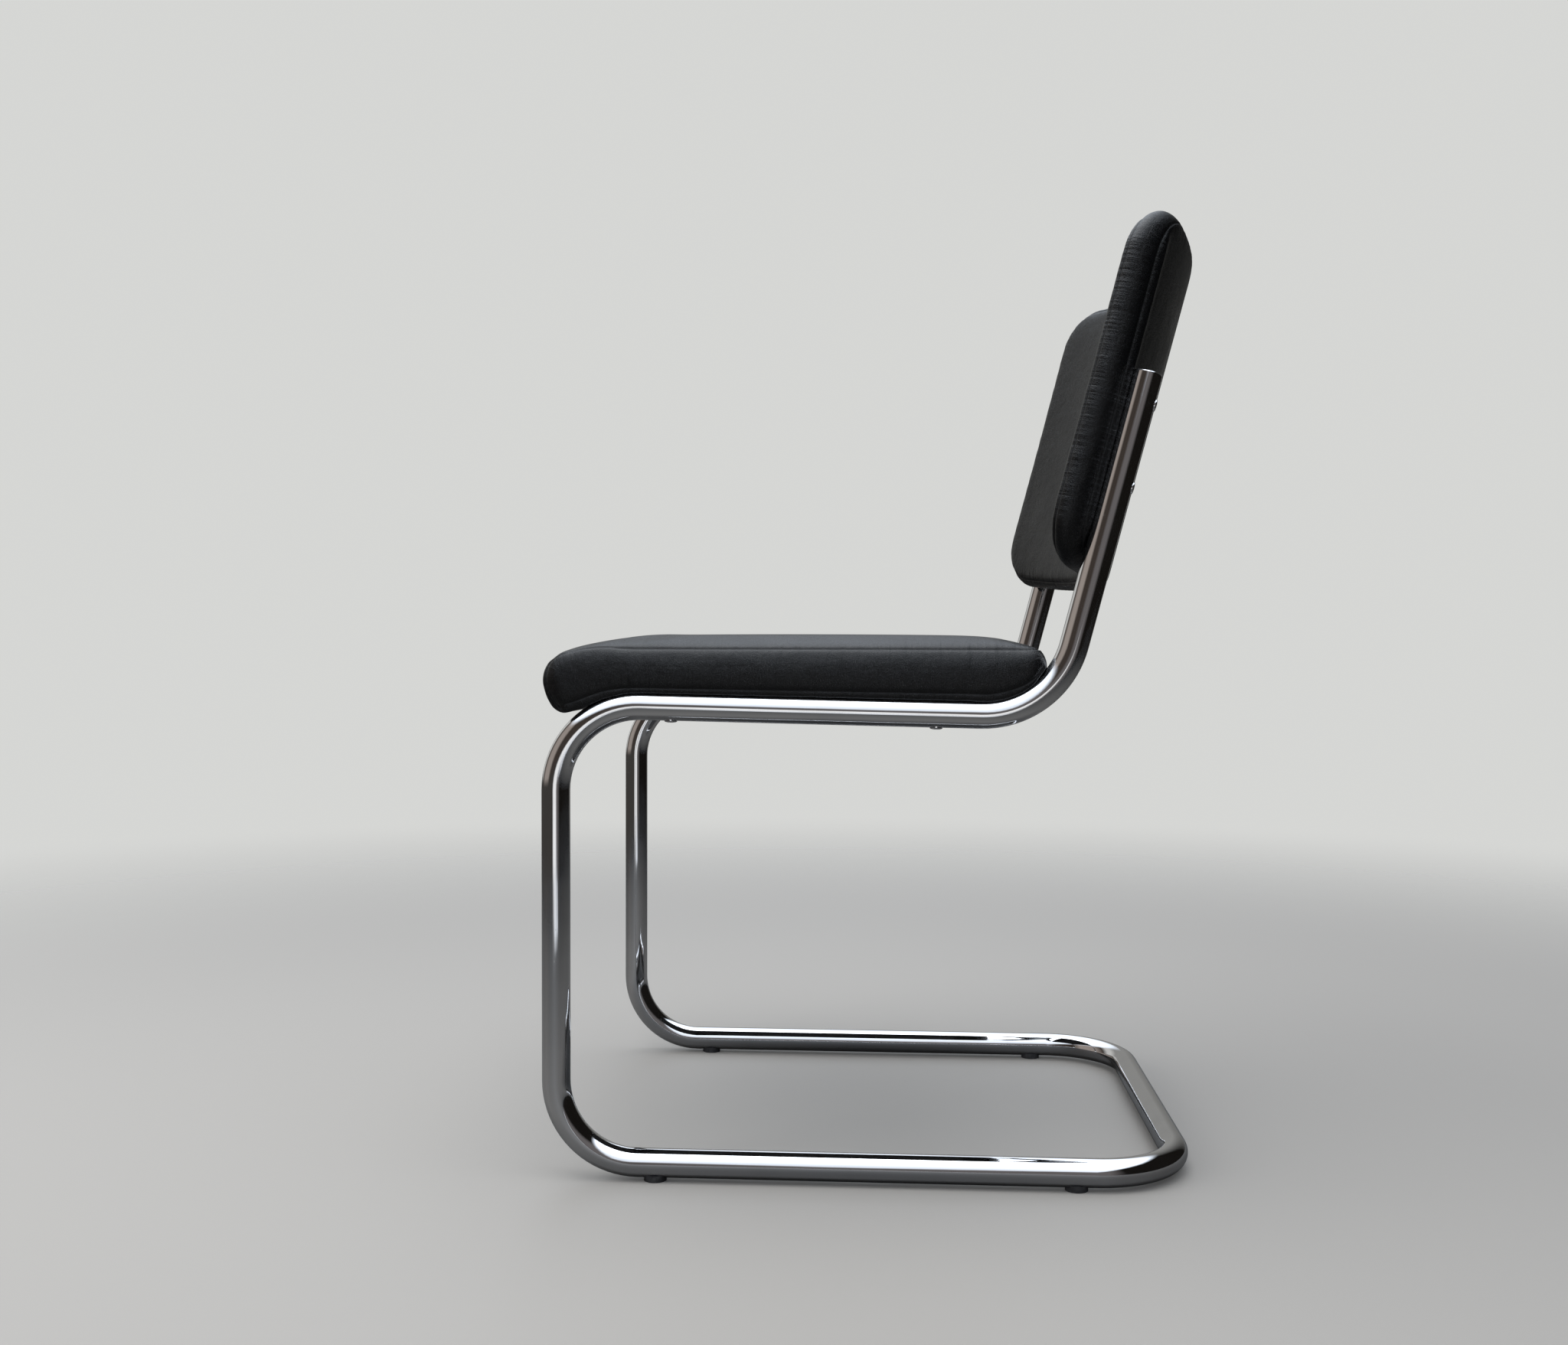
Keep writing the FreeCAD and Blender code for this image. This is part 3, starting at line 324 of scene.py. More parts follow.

# %% [markdown]
# ## Floor
# A plain pale floor catches the chair's soft shadow. It is a disc that fades out at its rim, so
# from any side it runs into the pale background without an edge. Reflections alone see it painted
# dark, with painted shade in rings that change with the distance and are darkest under the chair
# and far out, and with one painted pool of light on the camera's side.

# %% Floor
FLOOR_RADIUS = 3.0
FLOOR_COLOUR = (0.49, 0.465, 0.43)
# Painted shade, seen only in reflections: the floor's colour falls in rings by distance, darkest
# under the chair and far out.
FLOOR_PAINTED_SHADE_RINGS = [
    (0.06, (0.02, 0.019, 0.018)),
    (0.16, (0.115, 0.108, 0.098)),
    (0.36, (0.05, 0.046, 0.04)),
    (0.6, (0.012, 0.011, 0.01)),
]
# A painted pool of light, seen only in reflections, on the camera's side.
FLOOR_PAINTED_LIGHT_PATCH = (0.85, 0.85, 0.85)
bpy.ops.object.select_all(action="DESELECT")
bpy.ops.mesh.primitive_circle_add(vertices=96, radius=FLOOR_RADIUS, fill_type="NGON")
floor = bpy.context.object
floor.name = "floor"
paint = bpy.data.materials.new("pale_floor")
paint.use_nodes = True
tree = paint.node_tree
principled = tree.nodes["Principled BSDF"]
principled.inputs["Roughness"].default_value = 0.55
spot = object_place(tree)
parts = add_node(tree, "ShaderNodeSeparateXYZ")
wire(spot, parts.inputs[0])
toward, along = parts.outputs[0], parts.outputs[1]
aside = arithmetic("DIVIDE", arithmetic("ABSOLUTE", along, 0.0), toward)
# Where the painted pool of light lies on the floor.
painted_light_patch = times(soft_step(toward, 1.2, 1.5), soft_step(aside, 0.3, 0.15))
length = add_node(tree, "ShaderNodeVectorMath", operation="LENGTH")
wire(spot, length.inputs[0])
distance = length.outputs["Value"]
mirrored = ramp(arithmetic("DIVIDE", distance, FLOOR_RADIUS), FLOOR_PAINTED_SHADE_RINGS)
mirrored = blend_colour(painted_light_patch, mirrored, FLOOR_PAINTED_LIGHT_PATCH)
sight = add_node(tree, "ShaderNodeLightPath").outputs
colour = blend_colour(sight["Is Glossy Ray"], FLOOR_COLOUR, mirrored)
wire(colour, principled.inputs["Base Color"])
fade = soft_step(distance, 0.35 * FLOOR_RADIUS, 0.95 * FLOOR_RADIUS)
clear = add_node(tree, "ShaderNodeBsdfTransparent")
shader = add_node(tree, "ShaderNodeMixShader")
for index, source in enumerate((fade, principled.outputs[0], clear.outputs[0])):
    wire(source, shader.inputs[index])
wire(shader.outputs[0], tree.nodes["Material Output"].inputs["Surface"])
floor.data.materials.append(paint)

# %% [markdown]
# ## Shared surface effects
# Two effects come back in several materials. Handling marks are the faint cloudy smears that a
# hand leaves on metal and plastic. Leather grain is the pebbled skin of a hide. Each is a node
# group, built once, with its scale as an input.


# %% Node group helper
def new_group(name, inputs, outputs):
    """An empty shader node group with float inputs and outputs."""
    group = bpy.data.node_groups.new(name, "ShaderNodeTree")
    for label, value in inputs.items():
        socket = group.interface.new_socket(label, in_out="INPUT", socket_type="NodeSocketFloat")
        socket.default_value = value
    for label in outputs:
        group.interface.new_socket(label, in_out="OUTPUT", socket_type="NodeSocketFloat")
    return group, add_node(group, "NodeGroupInput"), add_node(group, "NodeGroupOutput")


def scaled_place(tree, scale):
    """Object coordinates multiplied by a scale that is an output."""
    node = add_node(tree, "ShaderNodeVectorMath", operation="SCALE")
    wire(object_place(tree), node.inputs[0])
    wire(scale, node.inputs["Scale"])
    return node.outputs[0]


# %% Handling marks
marks, marks_in, marks_out = new_group("handling_marks", {"Scale": 20.0}, ["Cloud", "Speck"])
place = scaled_place(marks, marks_in.outputs["Scale"])
wire(soft_step(noise(place, 1.0, 6.0, 0.6)["Fac"], 0.42, 0.72), marks_out.inputs["Cloud"])
wire(soft_step(noise(place, 14.0, 3.0, 0.7)["Fac"], 0.6, 0.75), marks_out.inputs["Speck"])

# %% Leather grain
grain, grain_in, grain_out = new_group(
    "leather_grain", {"Scale": 700.0}, ["Height", "Pores", "Patches"]
)
place = scaled_place(grain, grain_in.outputs["Scale"])
bent = add_node(grain, "ShaderNodeVectorMath", operation="ADD")
wire(place, bent.inputs[0])
wire(noise(place, 0.6, 2.0)["Color"], bent.inputs[1])
pebble = add_node(grain, "ShaderNodeTexVoronoi", {"Scale": 1.0}, feature="DISTANCE_TO_EDGE")
wire(bent.outputs[0], pebble.inputs["Vector"])
rounded = soft_step(pebble.outputs["Distance"], 0.0, 0.3)
fine = noise(place, 2.2, 3.0, 0.6)["Fac"]
wire(plus(rounded, times(fine, 0.5)), grain_out.inputs["Height"])
wire(arithmetic("SUBTRACT", 1.0, rounded), grain_out.inputs["Pores"])
wire(soft_step(noise(place, 0.02, 3.0)["Fac"], 0.35, 0.68), grain_out.inputs["Patches"])


# %% Material helpers
def new_material(name, colour, **constants):
    """A material whose Principled BSDF holds the plain values."""
    material = bpy.data.materials.new(name)
    material.use_nodes = True
    shader = material.node_tree.nodes["Principled BSDF"]
    shader.inputs["Base Color"].default_value = (*colour, 1)
    for key, value in constants.items():
        shader.inputs[key.replace("_", " ").title().replace("Ior", "IOR")].default_value = value
    return material, material.node_tree, shader


def use_group(tree, group, scale):
    return add_node(tree, "ShaderNodeGroup", {"Scale": scale}, node_tree=group).outputs


def add_bump(shader, height, depth):
    """Raises the surface by a height that goes from 0 to 1 over a real depth."""
    bump = add_node(shader.id_data, "ShaderNodeBump", {"Strength": 1.0, "Distance": depth})
    wire(height, bump.inputs["Height"])
    wire(bump.outputs[0], shader.inputs["Normal"])


# %% [markdown]
# ## Chrome plate
# The plate is a mirror, but not a perfect one. Faint smears make parts of it a touch duller, and
# the polished steel below is very slightly wavy, so that long reflections wander a little.


# %% Chrome
def make_chrome(name, colour, dull):
    material, tree, shader = new_material(name, colour, metallic=1.0)
    smear = use_group(tree, marks, 16.0)
    roughness = plus(times(smear["Cloud"], dull), times(smear["Speck"], 0.10), 0.035)
    wire(roughness, shader.inputs["Roughness"])
    tint = blend_colour(smear["Cloud"], colour, tuple(0.93 * value for value in colour))
    wire(tint, shader.inputs["Base Color"])
    add_bump(shader, noise(object_place(tree), 22.0, 1.0)["Fac"], 0.22 * MM)
    return material


chrome = make_chrome("chrome_plate", (0.80, 0.80, 0.81), 0.05)
plug_chrome = make_chrome("plug_chrome", (0.78, 0.78, 0.79), 0.10)
screw_plate = make_chrome("screw_plate", (0.66, 0.66, 0.67), 0.18)

# %% [markdown]
# ## Leather
# The hide is dyed black and finished half matt. Pebbles about a millimetre wide break up the
# sheen, the creases between them are a little darker and duller, and broad patches vary from worn
# to fresh. Near a seam the leather is stretched, its groove is darkened with painted shade and made
# duller, and small gathers run away from the stitches.


# %% Leather
PUCKER_REACH = 24 * MM
PUCKER_STEP = 3.4 * MM
# How far the painted shade in a seam's groove reaches.
SEAM_SHADE_WIDTH = 1.6 * MM


def make_leather(name, colour, worn_colour, roughness, pull):
    """Black leather whose puckers pull this deep, in millimetres, next to a seam."""
    material, tree, shader = new_material(name, colour, specular_ior_level=0.38)
    skin = use_group(tree, grain, 800.0)
    seam = add_node(tree, "ShaderNodeAttribute", attribute_name="seam_distance").outputs["Fac"]
    foot = add_node(tree, "ShaderNodeAttribute", attribute_name="seam_foot").outputs["Vector"]
    # Painted shade: the colour darkens within a seam's groove, which is also made duller.
    seam_shade_and_dullness = soft_step(seam, SEAM_SHADE_WIDTH, 0.3 * SEAM_SHADE_WIDTH)
    dark = tuple(0.45 * value for value in colour)
    worn = blend_colour(skin["Patches"], colour, worn_colour)
    worn = blend_colour(skin["Pores"], worn, dark)
    wire(blend_colour(seam_shade_and_dullness, worn, dark), shader.inputs["Base Color"])
    dull, sheen = times(skin["Pores"], 0.15), times(skin["Patches"], -0.06)
    total = plus(dull, sheen, roughness, times(seam_shade_and_dullness, 0.4))
    wire(total, shader.inputs["Roughness"])
    near = soft_step(seam, PUCKER_REACH, 2 * MM)
    folds = times(noise(foot, 1 / PUCKER_STEP, 2.0)["Fac"], near, pull)
    pebbles = times(skin["Height"], 0.09)
    dents = times(noise(object_place(tree), 45.0, 3.0, 0.55)["Fac"], 1.1)
    add_bump(shader, plus(folds, pebbles, dents), MM)
    return material


DYE, WORN_DYE = (0.0018, 0.0019, 0.0024), (0.0036, 0.0038, 0.0044)
seat_leather = make_leather("seat_leather", DYE, WORN_DYE, 0.26, 0.6)
back_leather = make_leather("back_leather", DYE, WORN_DYE, 0.29, 0.85)

# %% [markdown]
# ## Plastic, cloth and wood
# The glides are moulded plastic with scuffed undersides. The cloth below the seat is a thin
# pressed fleece with tiny fibres. The boards are beech plywood, which stays out of sight inside
# the pads.

# %% Plastic
glide_plastic, tree, shader = new_material("glide_plastic", (0.03, 0.03, 0.032), roughness=0.5)
scuff = use_group(tree, marks, 120.0)
colour = blend_colour(scuff["Cloud"], (0.022, 0.022, 0.024), (0.05, 0.05, 0.052))
wire(colour, shader.inputs["Base Color"])
wire(plus(times(scuff["Cloud"], 0.25), 0.4), shader.inputs["Roughness"])
add_bump(shader, scuff["Speck"], 0.05 * MM)

# %% Fleece
fleece, tree, shader = new_material("cover_fleece", (0.014, 0.014, 0.015), roughness=0.9)
fibres = noise(object_place(tree), 1500.0, 4.0, 0.7, 2.0)["Fac"]
colour = blend_colour(fibres, (0.008, 0.008, 0.009), (0.03, 0.03, 0.032))
wire(colour, shader.inputs["Base Color"])
add_bump(shader, fibres, 0.12 * MM)

# %% Plywood
plywood, tree, shader = new_material("beech_plywood", (0.62, 0.46, 0.3), roughness=0.62)
stretch = add_node(tree, "ShaderNodeMapping", {"Scale": (6.0, 90.0, 600.0)})
wire(object_place(tree), stretch.inputs["Vector"])
figure = noise(stretch.outputs[0], 1.0, 5.0, 0.6)["Fac"]
colour = ramp(figure, [(0.3, (0.40, 0.26, 0.15)), (0.7, (0.66, 0.50, 0.33))])
wire(colour, shader.inputs["Base Color"])
add_bump(shader, figure, 0.1 * MM)

# %% Zinc
zinc, tree, shader = new_material("zinc_plate", (0.55, 0.55, 0.50), metallic=1.0)
spangle = use_group(tree, marks, 260.0)
wire(plus(times(spangle["Cloud"], 0.25), 0.3), shader.inputs["Roughness"])
colour = blend_colour(spangle["Cloud"], (0.55, 0.55, 0.50), (0.62, 0.58, 0.48))
wire(colour, shader.inputs["Base Color"])

# %% [markdown]
# ## Nodes that keep their own shape
# The glides, boards and nuts are right as they are and only need a finish.

# %% Finish for the kept nodes
KEPT = {
    "glide_": glide_plastic,
    "seat_board": plywood,
    "back_board": plywood,
    "seat_tee_nuts": zinc,
    "back_inserts": zinc,
}
for name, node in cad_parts.items():
    for start, material in KEPT.items():
        if name.startswith(start):
            node.data.materials.clear()
            node.data.materials.append(material)

# %% [markdown]
# ## The bent tube
# The real frame is one tube, bent cold on a machine: a straight run, a bend, the next run. It can
# be drawn the same way. A circle is extruded along each straight and spun round each bend, from
# the middle of the rear cross run to the top of one upright, and a mirror makes the other half. A
# bevelled curve would be shorter to write, but spinning keeps every bend a true arc with rings
# square to it.

# %% Tube
TUBE_SIDES = 64
BEND_STEPS = 20
FLOOR_BEND = 72 * MM
CORNER_BEND = 80 * MM
FRONT_BEND = 74 * MM
REAR_BEND = 80 * MM
FRONT_STRAIGHT = 256 * MM
RAIL_STRAIGHT = 294 * MM
BACK_STRAIGHT = 237 * MM
RAIL_SLOPE = math.radians(1.1)
BACK_LEAN = math.radians(14.5)
TUBE_RADIUS = 12.5 * MM

tube_low, tube_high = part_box("tube_frame")
half_track = tube_high[0] - TUBE_RADIUS
floor_z = tube_low[2] + TUBE_RADIUS
front_y = tube_low[1] + TUBE_RADIUS
cross_y = tube_high[1] - TUBE_RADIUS


def run_straight(heading, length):
    """Extrudes the selected ring along a heading."""
    step = Vector(heading).normalized() * length
    bpy.ops.mesh.extrude_region_move(TRANSFORM_OT_translate={"value": step})


def run_bend(centre, axis, angle):
    """Spins the selected ring round a bend, anticlockwise as seen against the axis."""
    bpy.ops.mesh.spin(steps=BEND_STEPS, angle=-angle, center=centre, axis=axis)


# The places that the runs end at, in the side view.
floor_start = front_y + FLOOR_BEND
floor_end = cross_y - CORNER_BEND
front_bend_z = floor_z + FLOOR_BEND + FRONT_STRAIGHT
front_bend_y = front_y + FRONT_BEND
rail_dir = Vector((0, math.cos(RAIL_SLOPE), -math.sin(RAIL_SLOPE)))
rail_up = Vector((0, math.sin(RAIL_SLOPE), math.cos(RAIL_SLOPE)))
rail_front = Vector((half_track, front_bend_y, front_bend_z)) + FRONT_BEND * rail_up
rail_rear = rail_front + RAIL_STRAIGHT * rail_dir
rear_bend = rail_rear + REAR_BEND * rail_up
back_dir = Vector((0, math.sin(BACK_LEAN), math.cos(BACK_LEAN)))
back_out = Vector((0, math.cos(BACK_LEAN), -math.sin(BACK_LEAN)))
back_foot = rear_bend + REAR_BEND * back_out
back_end = back_foot + BACK_STRAIGHT * back_dir

bpy.ops.object.select_all(action="DESELECT")
bpy.ops.mesh.primitive_circle_add(
    vertices=TUBE_SIDES,
    radius=TUBE_RADIUS,
    location=(0, cross_y, floor_z),
    rotation=(0, math.pi / 2, 0),
)
tube = bpy.context.object
settle(tube)
edit(tube, "EDGE", "SELECT")
run_straight((1, 0, 0), half_track - CORNER_BEND)
run_bend((half_track - CORNER_BEND, floor_end, floor_z), (0, 0, 1), -math.pi / 2)
run_straight((0, -1, 0), floor_end - floor_start)
run_bend((half_track, floor_start, floor_z + FLOOR_BEND), (1, 0, 0), -math.pi / 2)
run_straight((0, 0, 1), FRONT_STRAIGHT)
run_bend((half_track, front_bend_y, front_bend_z), (1, 0, 0), -math.pi / 2 - RAIL_SLOPE)
run_straight(rail_dir, RAIL_STRAIGHT)
run_bend(tuple(rear_bend), (1, 0, 0), math.pi / 2 + RAIL_SLOPE - BACK_LEAN)
run_straight(back_dir, BACK_STRAIGHT)
bpy.ops.mesh.edge_face_add()
close_edit()
apply_modifier(tube, "MIRROR", use_mirror_merge=True, merge_threshold=0.01 * MM)
face_outward(tube)
bpy.ops.object.shade_smooth_by_angle(angle=math.radians(40))
finish_piece(tube, "bent_tube", chrome, "chrome_tube", "tube_frame")
print("upright ends at", tuple(round(value, 4) for value in back_end))

# %% [markdown]
# ## Turned pieces
# A plug closes each upright's end, and it was turned or pressed round an axis. A half outline is
# spun once round and its doubles are merged. The outline goes from the middle of the top, over the
# dome, round a fine groove that shows as a dark ring, and down into the tube.


# %% Turned shapes
TURN_STEPS = 48


def turned(name, outline):
    """Spins a list of (radius, height) points round the Z axis into a closed shape."""
    mesh = bpy.data.meshes.new(name)
    points = [(radius, 0, height) for radius, height in outline]
    mesh.from_pydata(points, [(i, i + 1) for i in range(len(points) - 1)], [])
    piece = bpy.data.objects.new(name, mesh)
    bpy.context.scene.collection.objects.link(piece)
    edit(piece, "EDGE", "SELECT")
    bpy.ops.mesh.spin(steps=TURN_STEPS, angle=2 * math.pi, center=(0, 0, 0), axis=(0, 0, 1))
    bpy.ops.mesh.select_all(action="SELECT")
    bpy.ops.mesh.remove_doubles(threshold=0.001 * MM)
    close_edit()
    face_outward(piece)
    return piece


def dome(radius, height, rim, count=8):
    """Points of a low dome, from its middle out to a rim of a given height."""
    angles = [math.pi / 2 * index / count for index in range(count + 1)]
    return [(radius * math.sin(t), rim + (height - rim) * math.cos(t)) for t in angles]


def stand(piece, place, up):
    """Turns a shape's Z axis to a direction and moves it to its place."""
    turn = Vector((0, 0, 1)).rotation_difference(Vector(up)).to_matrix().to_4x4()
    piece.data.transform(Matrix.Translation(Vector(place)) @ turn)


# %% Plugs
PLUG_TOP = 2.4 * MM
PLUG_GROOVE = 0.5 * MM
plug_outline = [
    *dome(TUBE_RADIUS - 0.2 * MM, PLUG_TOP, 0.9 * MM),
    (TUBE_RADIUS - 0.1 * MM, 0.7 * MM),
    (TUBE_RADIUS - 0.3 * MM, 0.5 * MM),
    (TUBE_RADIUS - PLUG_GROOVE - 1.2 * MM, 0.45 * MM),
    (TUBE_RADIUS - PLUG_GROOVE - 1.2 * MM, 0.02 * MM),
    (10.3 * MM, 0.02 * MM),
    (10.3 * MM, -8 * MM),
    (0, -8 * MM),
]
for side, name in ((1, "left"), (-1, "right")):
    plug = turned("plug", plug_outline)
    stand(plug, (side * back_end[0], back_end[1], back_end[2]), back_dir)
    take(plug)
    bpy.ops.object.shade_smooth_by_angle(angle=math.radians(35))
    finish_piece(plug, f"end_plug_{name}", plug_chrome, "cap", f"tube_cap_{name}")

# %% [markdown]
# ## Screws
# Eight screws hold the pads. Each has a low domed head with a six-sided socket. The head is turned
# with a hole in its middle, the hole's rim is moved onto a hexagon, and the socket is pushed down
# and closed. Its skirt reaches round the tube, as a saddle does.

# %% Screw shape
HEAD_RADIUS = 5.5 * MM
HEAD_HEIGHT = 1.6 * MM
SKIRT = -1.3 * MM
SOCKET_RADIUS = 2.3 * MM
SOCKET_DEPTH = 1.3 * MM
SHANK_RADIUS = 2.9 * MM


def make_screw(length):
    """One screw along +Z, its head's seat at the origin and its shank below."""
    head = dome(HEAD_RADIUS, HEAD_HEIGHT, 0.5 * MM)
    outline = [(SOCKET_RADIUS, HEAD_HEIGHT - 0.1 * MM)]
    outline += [point for point in head if point[0] > SOCKET_RADIUS]
    outline += [(HEAD_RADIUS, SKIRT), (SHANK_RADIUS, SKIRT), (SHANK_RADIUS, -length), (0, -length)]
    screw = turned("screw", outline)
    edit(screw, "EDGE")
    bpy.ops.mesh.select_non_manifold()
    close_edit()
    for vertex in screw.data.vertices:
        if vertex.select:
            angle = math.atan2(vertex.co.y, vertex.co.x) % (math.pi / 3) - math.pi / 6
            flat = SOCKET_RADIUS * math.cos(math.pi / 6) / math.cos(angle)
            vertex.co.xy = vertex.co.xy.normalized() * flat
    take(screw)
    bpy.ops.object.mode_set(mode="EDIT")
    run_straight((0, 0, -1), SOCKET_DEPTH)
    bpy.ops.mesh.edge_face_add()
    close_edit()
    face_outward(screw)
    bpy.ops.object.shade_smooth_by_angle(angle=math.radians(35))
    return screw


def joined(pieces):
    """Joins several objects into the first."""
    take(pieces[0])
    for piece in pieces[1:]:
        piece.select_set(True)
    bpy.ops.object.join()
    return pieces[0]


def screw_group(name, first, step, up, length, node):
    """Four screws: two along a run of the tube, and the same two on the other side."""
    group = []
    for side in (1, -1):
        for index in (0, 1):
            place = Vector(first) + index * Vector(step)
            screw = make_screw(length)
            stand(screw, (side * place.x, place.y, place.z), up)
            group.append(screw)
    finish_piece(joined(group), name, screw_plate, "screw", node)


# %% Screws in place
SEAT_SCREW_FIRST = 26 * MM
SEAT_SCREW_SPACING = 230 * MM
BACK_SCREW_LOW = 204 * MM
BACK_SCREW_SPACING = 72 * MM
corner_reach = REAR_BEND * math.tan((math.pi / 2 - BACK_LEAN + RAIL_SLOPE) / 2)
back_corner = back_foot - corner_reach * back_dir
screw_group(
    "seat_screw_set",
    rail_front + SEAT_SCREW_FIRST * rail_dir - TUBE_RADIUS * rail_up,
    SEAT_SCREW_SPACING * rail_dir,
    -rail_up,
    38 * MM,
    "seat_screws",
)
screw_group(
    "back_screw_set",
    back_corner + BACK_SCREW_LOW * back_dir + TUBE_RADIUS * back_out,
    BACK_SCREW_SPACING * back_dir,
    back_out,
    39 * MM,
    "back_screws",
)


# %% [markdown]
# ## Outlines made of arcs
# Both pads are drawn from arcs and lines. An arc can be given by its centre and angles, or by its
# start, its heading there and its end. A finished outline is walked at even or graded steps.


# %% Outline helpers
def ring_point(centre, radius, degrees):
    angle = math.radians(degrees)
    return np.array((centre[0] + radius * math.cos(angle), centre[1] + radius * math.sin(angle)))


def centred_arc(centre, radius, start, end, count=24):
    return [ring_point(centre, radius, angle) for angle in np.linspace(start, end, count)]


def heading_arc(start, heading, end, count=24):
    """Points of the arc that leaves start in a heading, in degrees, and ends at end."""
    start, end = np.array(start), np.array(end)
    chord = end - start
    turn = math.atan2(chord[1], chord[0]) - math.radians(heading)
    turn = (turn + math.pi) % (2 * math.pi) - math.pi
    if abs(turn) < 1e-4:
        return [start + chord * t for t in np.linspace(0, 1, count)]
    radius = np.hypot(*chord) / (2 * math.sin(turn))
    normal = math.radians(heading) + math.pi / 2
    centre = start + radius * np.array((math.cos(normal), math.sin(normal)))
    spoke = start - centre
    points = []
    for angle in np.linspace(0, 2 * turn, count):
        c, s = math.cos(angle), math.sin(angle)
        points.append(centre + np.array((c * spoke[0] - s * spoke[1], s * spoke[0] + c * spoke[1])))
    return points


class Outline:
    """A run of points that can be read at any share of its length."""

    def __init__(self, *stretches):
        points = np.array([point for stretch in stretches for point in stretch])
        keep = np.ones(len(points), bool)
        keep[1:] = np.linalg.norm(np.diff(points, axis=0), axis=1) > 1e-7
        self.points = points[keep]
        steps = np.linalg.norm(np.diff(self.points, axis=0), axis=1)
        self.walk = np.concatenate(([0], np.cumsum(steps)))
        self.length = self.walk[-1]

    def at(self, share):
        place = share * self.length
        return np.array([np.interp(place, self.walk, self.points[:, i]) for i in (0, 1)])

    def height(self, y):
        """The second coordinate at a first one, on an outline that never turns back."""
        order = np.argsort(self.points[:, 0])
        return np.interp(y, self.points[order, 0], self.points[order, 1])


def graded(length, fine_steps, coarse):
    """Shares from 0 to 1 along a length: fine steps at both ends, even coarse ones between."""
    ends = np.cumsum(fine_steps)
    middle = length - 2 * ends[-1]
    count = max(1, round(middle / coarse))
    inner = ends[-1] + np.linspace(0, middle, count + 1)
    places = np.concatenate(([0], ends[:-1], inner, length - ends[-2::-1], [length]))
    return places / length


# %% [markdown]
# ## A block that becomes a pad
# A pad has a top, a bottom and four sides, so it starts as a block of quads: a flat grid, extruded
# a few times. Each vertex then knows where it sits on the block, as three shares from 0 to 1, and
# a function puts it on the pad. The block's edges become the sewn seams, which a voxel remesh
# would lose. The price is that the function has to be worked out once for each pad.


# %% Block helper
def make_block(name, across, along, upward):
    """A closed block; returns it with each vertex's shares, taken from three lists."""
    bpy.ops.object.select_all(action="DESELECT")
    cells = (len(across) - 1, len(along) - 1, len(upward) - 1)
    bpy.ops.mesh.primitive_grid_add(x_subdivisions=cells[0], y_subdivisions=cells[1], size=1)
    piece = bpy.context.object
    piece.name = name
    edit(piece, action="SELECT")
    for _ in range(cells[2]):
        run_straight((0, 0, 1), 1)
    close_edit()
    lattice = points_of(piece)
    index = np.rint((lattice[:, :2] + 0.5) * cells[:2]).astype(int)
    level = np.rint(lattice[:, 2]).astype(int)
    shares = np.stack([across[index[:, 0]], along[index[:, 1]], upward[level]], axis=1)
    return piece, shares.tolist()


EVEN_LEAN = 45


def corner_map(x, y, corner, reach, lean):
    """Rounds one plan corner. x and y are measured from the corner's centre, in the order across,
    along; reach is how far the corner goes each way; lean is where the block's edge lands on the
    round, in degrees from the across direction."""
    u, v = x / reach[0], y / reach[1]
    far = max(u, v)
    angle = math.radians(lean * v / u if u >= v else 90 - (90 - lean) * u / v)
    x, y = far * reach[0] * math.cos(angle), far * reach[1] * math.sin(angle)
    return corner[0] + x, corner[1] + y


def round_off(x, y, halves, radius):
    """Moves a point of a rectangle about the origin onto the same one with round corners."""
    corner = (halves[0] - radius, halves[1] - radius)
    if abs(x) <= corner[0] or abs(y) <= corner[1]:
        return x, y
    sides = math.copysign(1, x), math.copysign(1, y)
    reach = (radius, radius)
    x, y = corner_map(abs(x) - corner[0], abs(y) - corner[1], corner, reach, EVEN_LEAN)
    return sides[0] * x, sides[1] * y


# %% [markdown]
# ## Cloth, seams and gathers
# Leather over foam is tight at its seams and full between them. Blender's cloth gives that: the
# seams and the parts that lie on something are held, air pressure pushes the rest out for twenty
# frames, and the way each point may move is capped. Then each seam is opened with a bevel and its
# middle is pushed in, and small gathers are drawn across it.


# %% Pad helpers
GATHER_HEIGHT = 0.35 * MM
FRAMES = 20
CLOTH = {
    "quality": 6,
    "mass": 0.3,
    "tension_stiffness": 15,
    "compression_stiffness": 15,
    "shear_stiffness": 8,
    "bending_stiffness": 1.0,
    "vertex_group_mass": "held",
    "use_pressure": True,
    "uniform_pressure_force": 4.0,
}


def inflate(piece, held, cap):
    """Blows a mesh up with cloth pressure, and caps how far each point goes."""
    start = points_of(piece)
    group = piece.vertex_groups.new(name="held")
    for index, weight in enumerate(held):
        if weight > 0:
            group.add([index], float(weight), "REPLACE")
    take(piece)
    cloth = piece.modifiers.new("cloth", "CLOTH")
    set_all(cloth.settings, CLOTH)
    cloth.settings.effector_weights.gravity = 0
    cloth.point_cache.frame_start = 1
    cloth.point_cache.frame_end = FRAMES
    for step in range(1, FRAMES + 1):
        bpy.context.scene.frame_set(step)
    bpy.ops.object.modifier_apply(modifier=cloth.name)
    bpy.context.scene.frame_set(1)
    piece.vertex_groups.clear()
    move = points_of(piece) - start
    far = np.linalg.norm(move, axis=1, keepdims=True) + 1e-9
    capped = cap * (1 - np.exp(-far / cap))
    set_points(piece, start + move / far * capped)
    print("cloth moved points by up to", round(float(far.max()) / MM, 2), "mm before the cap")


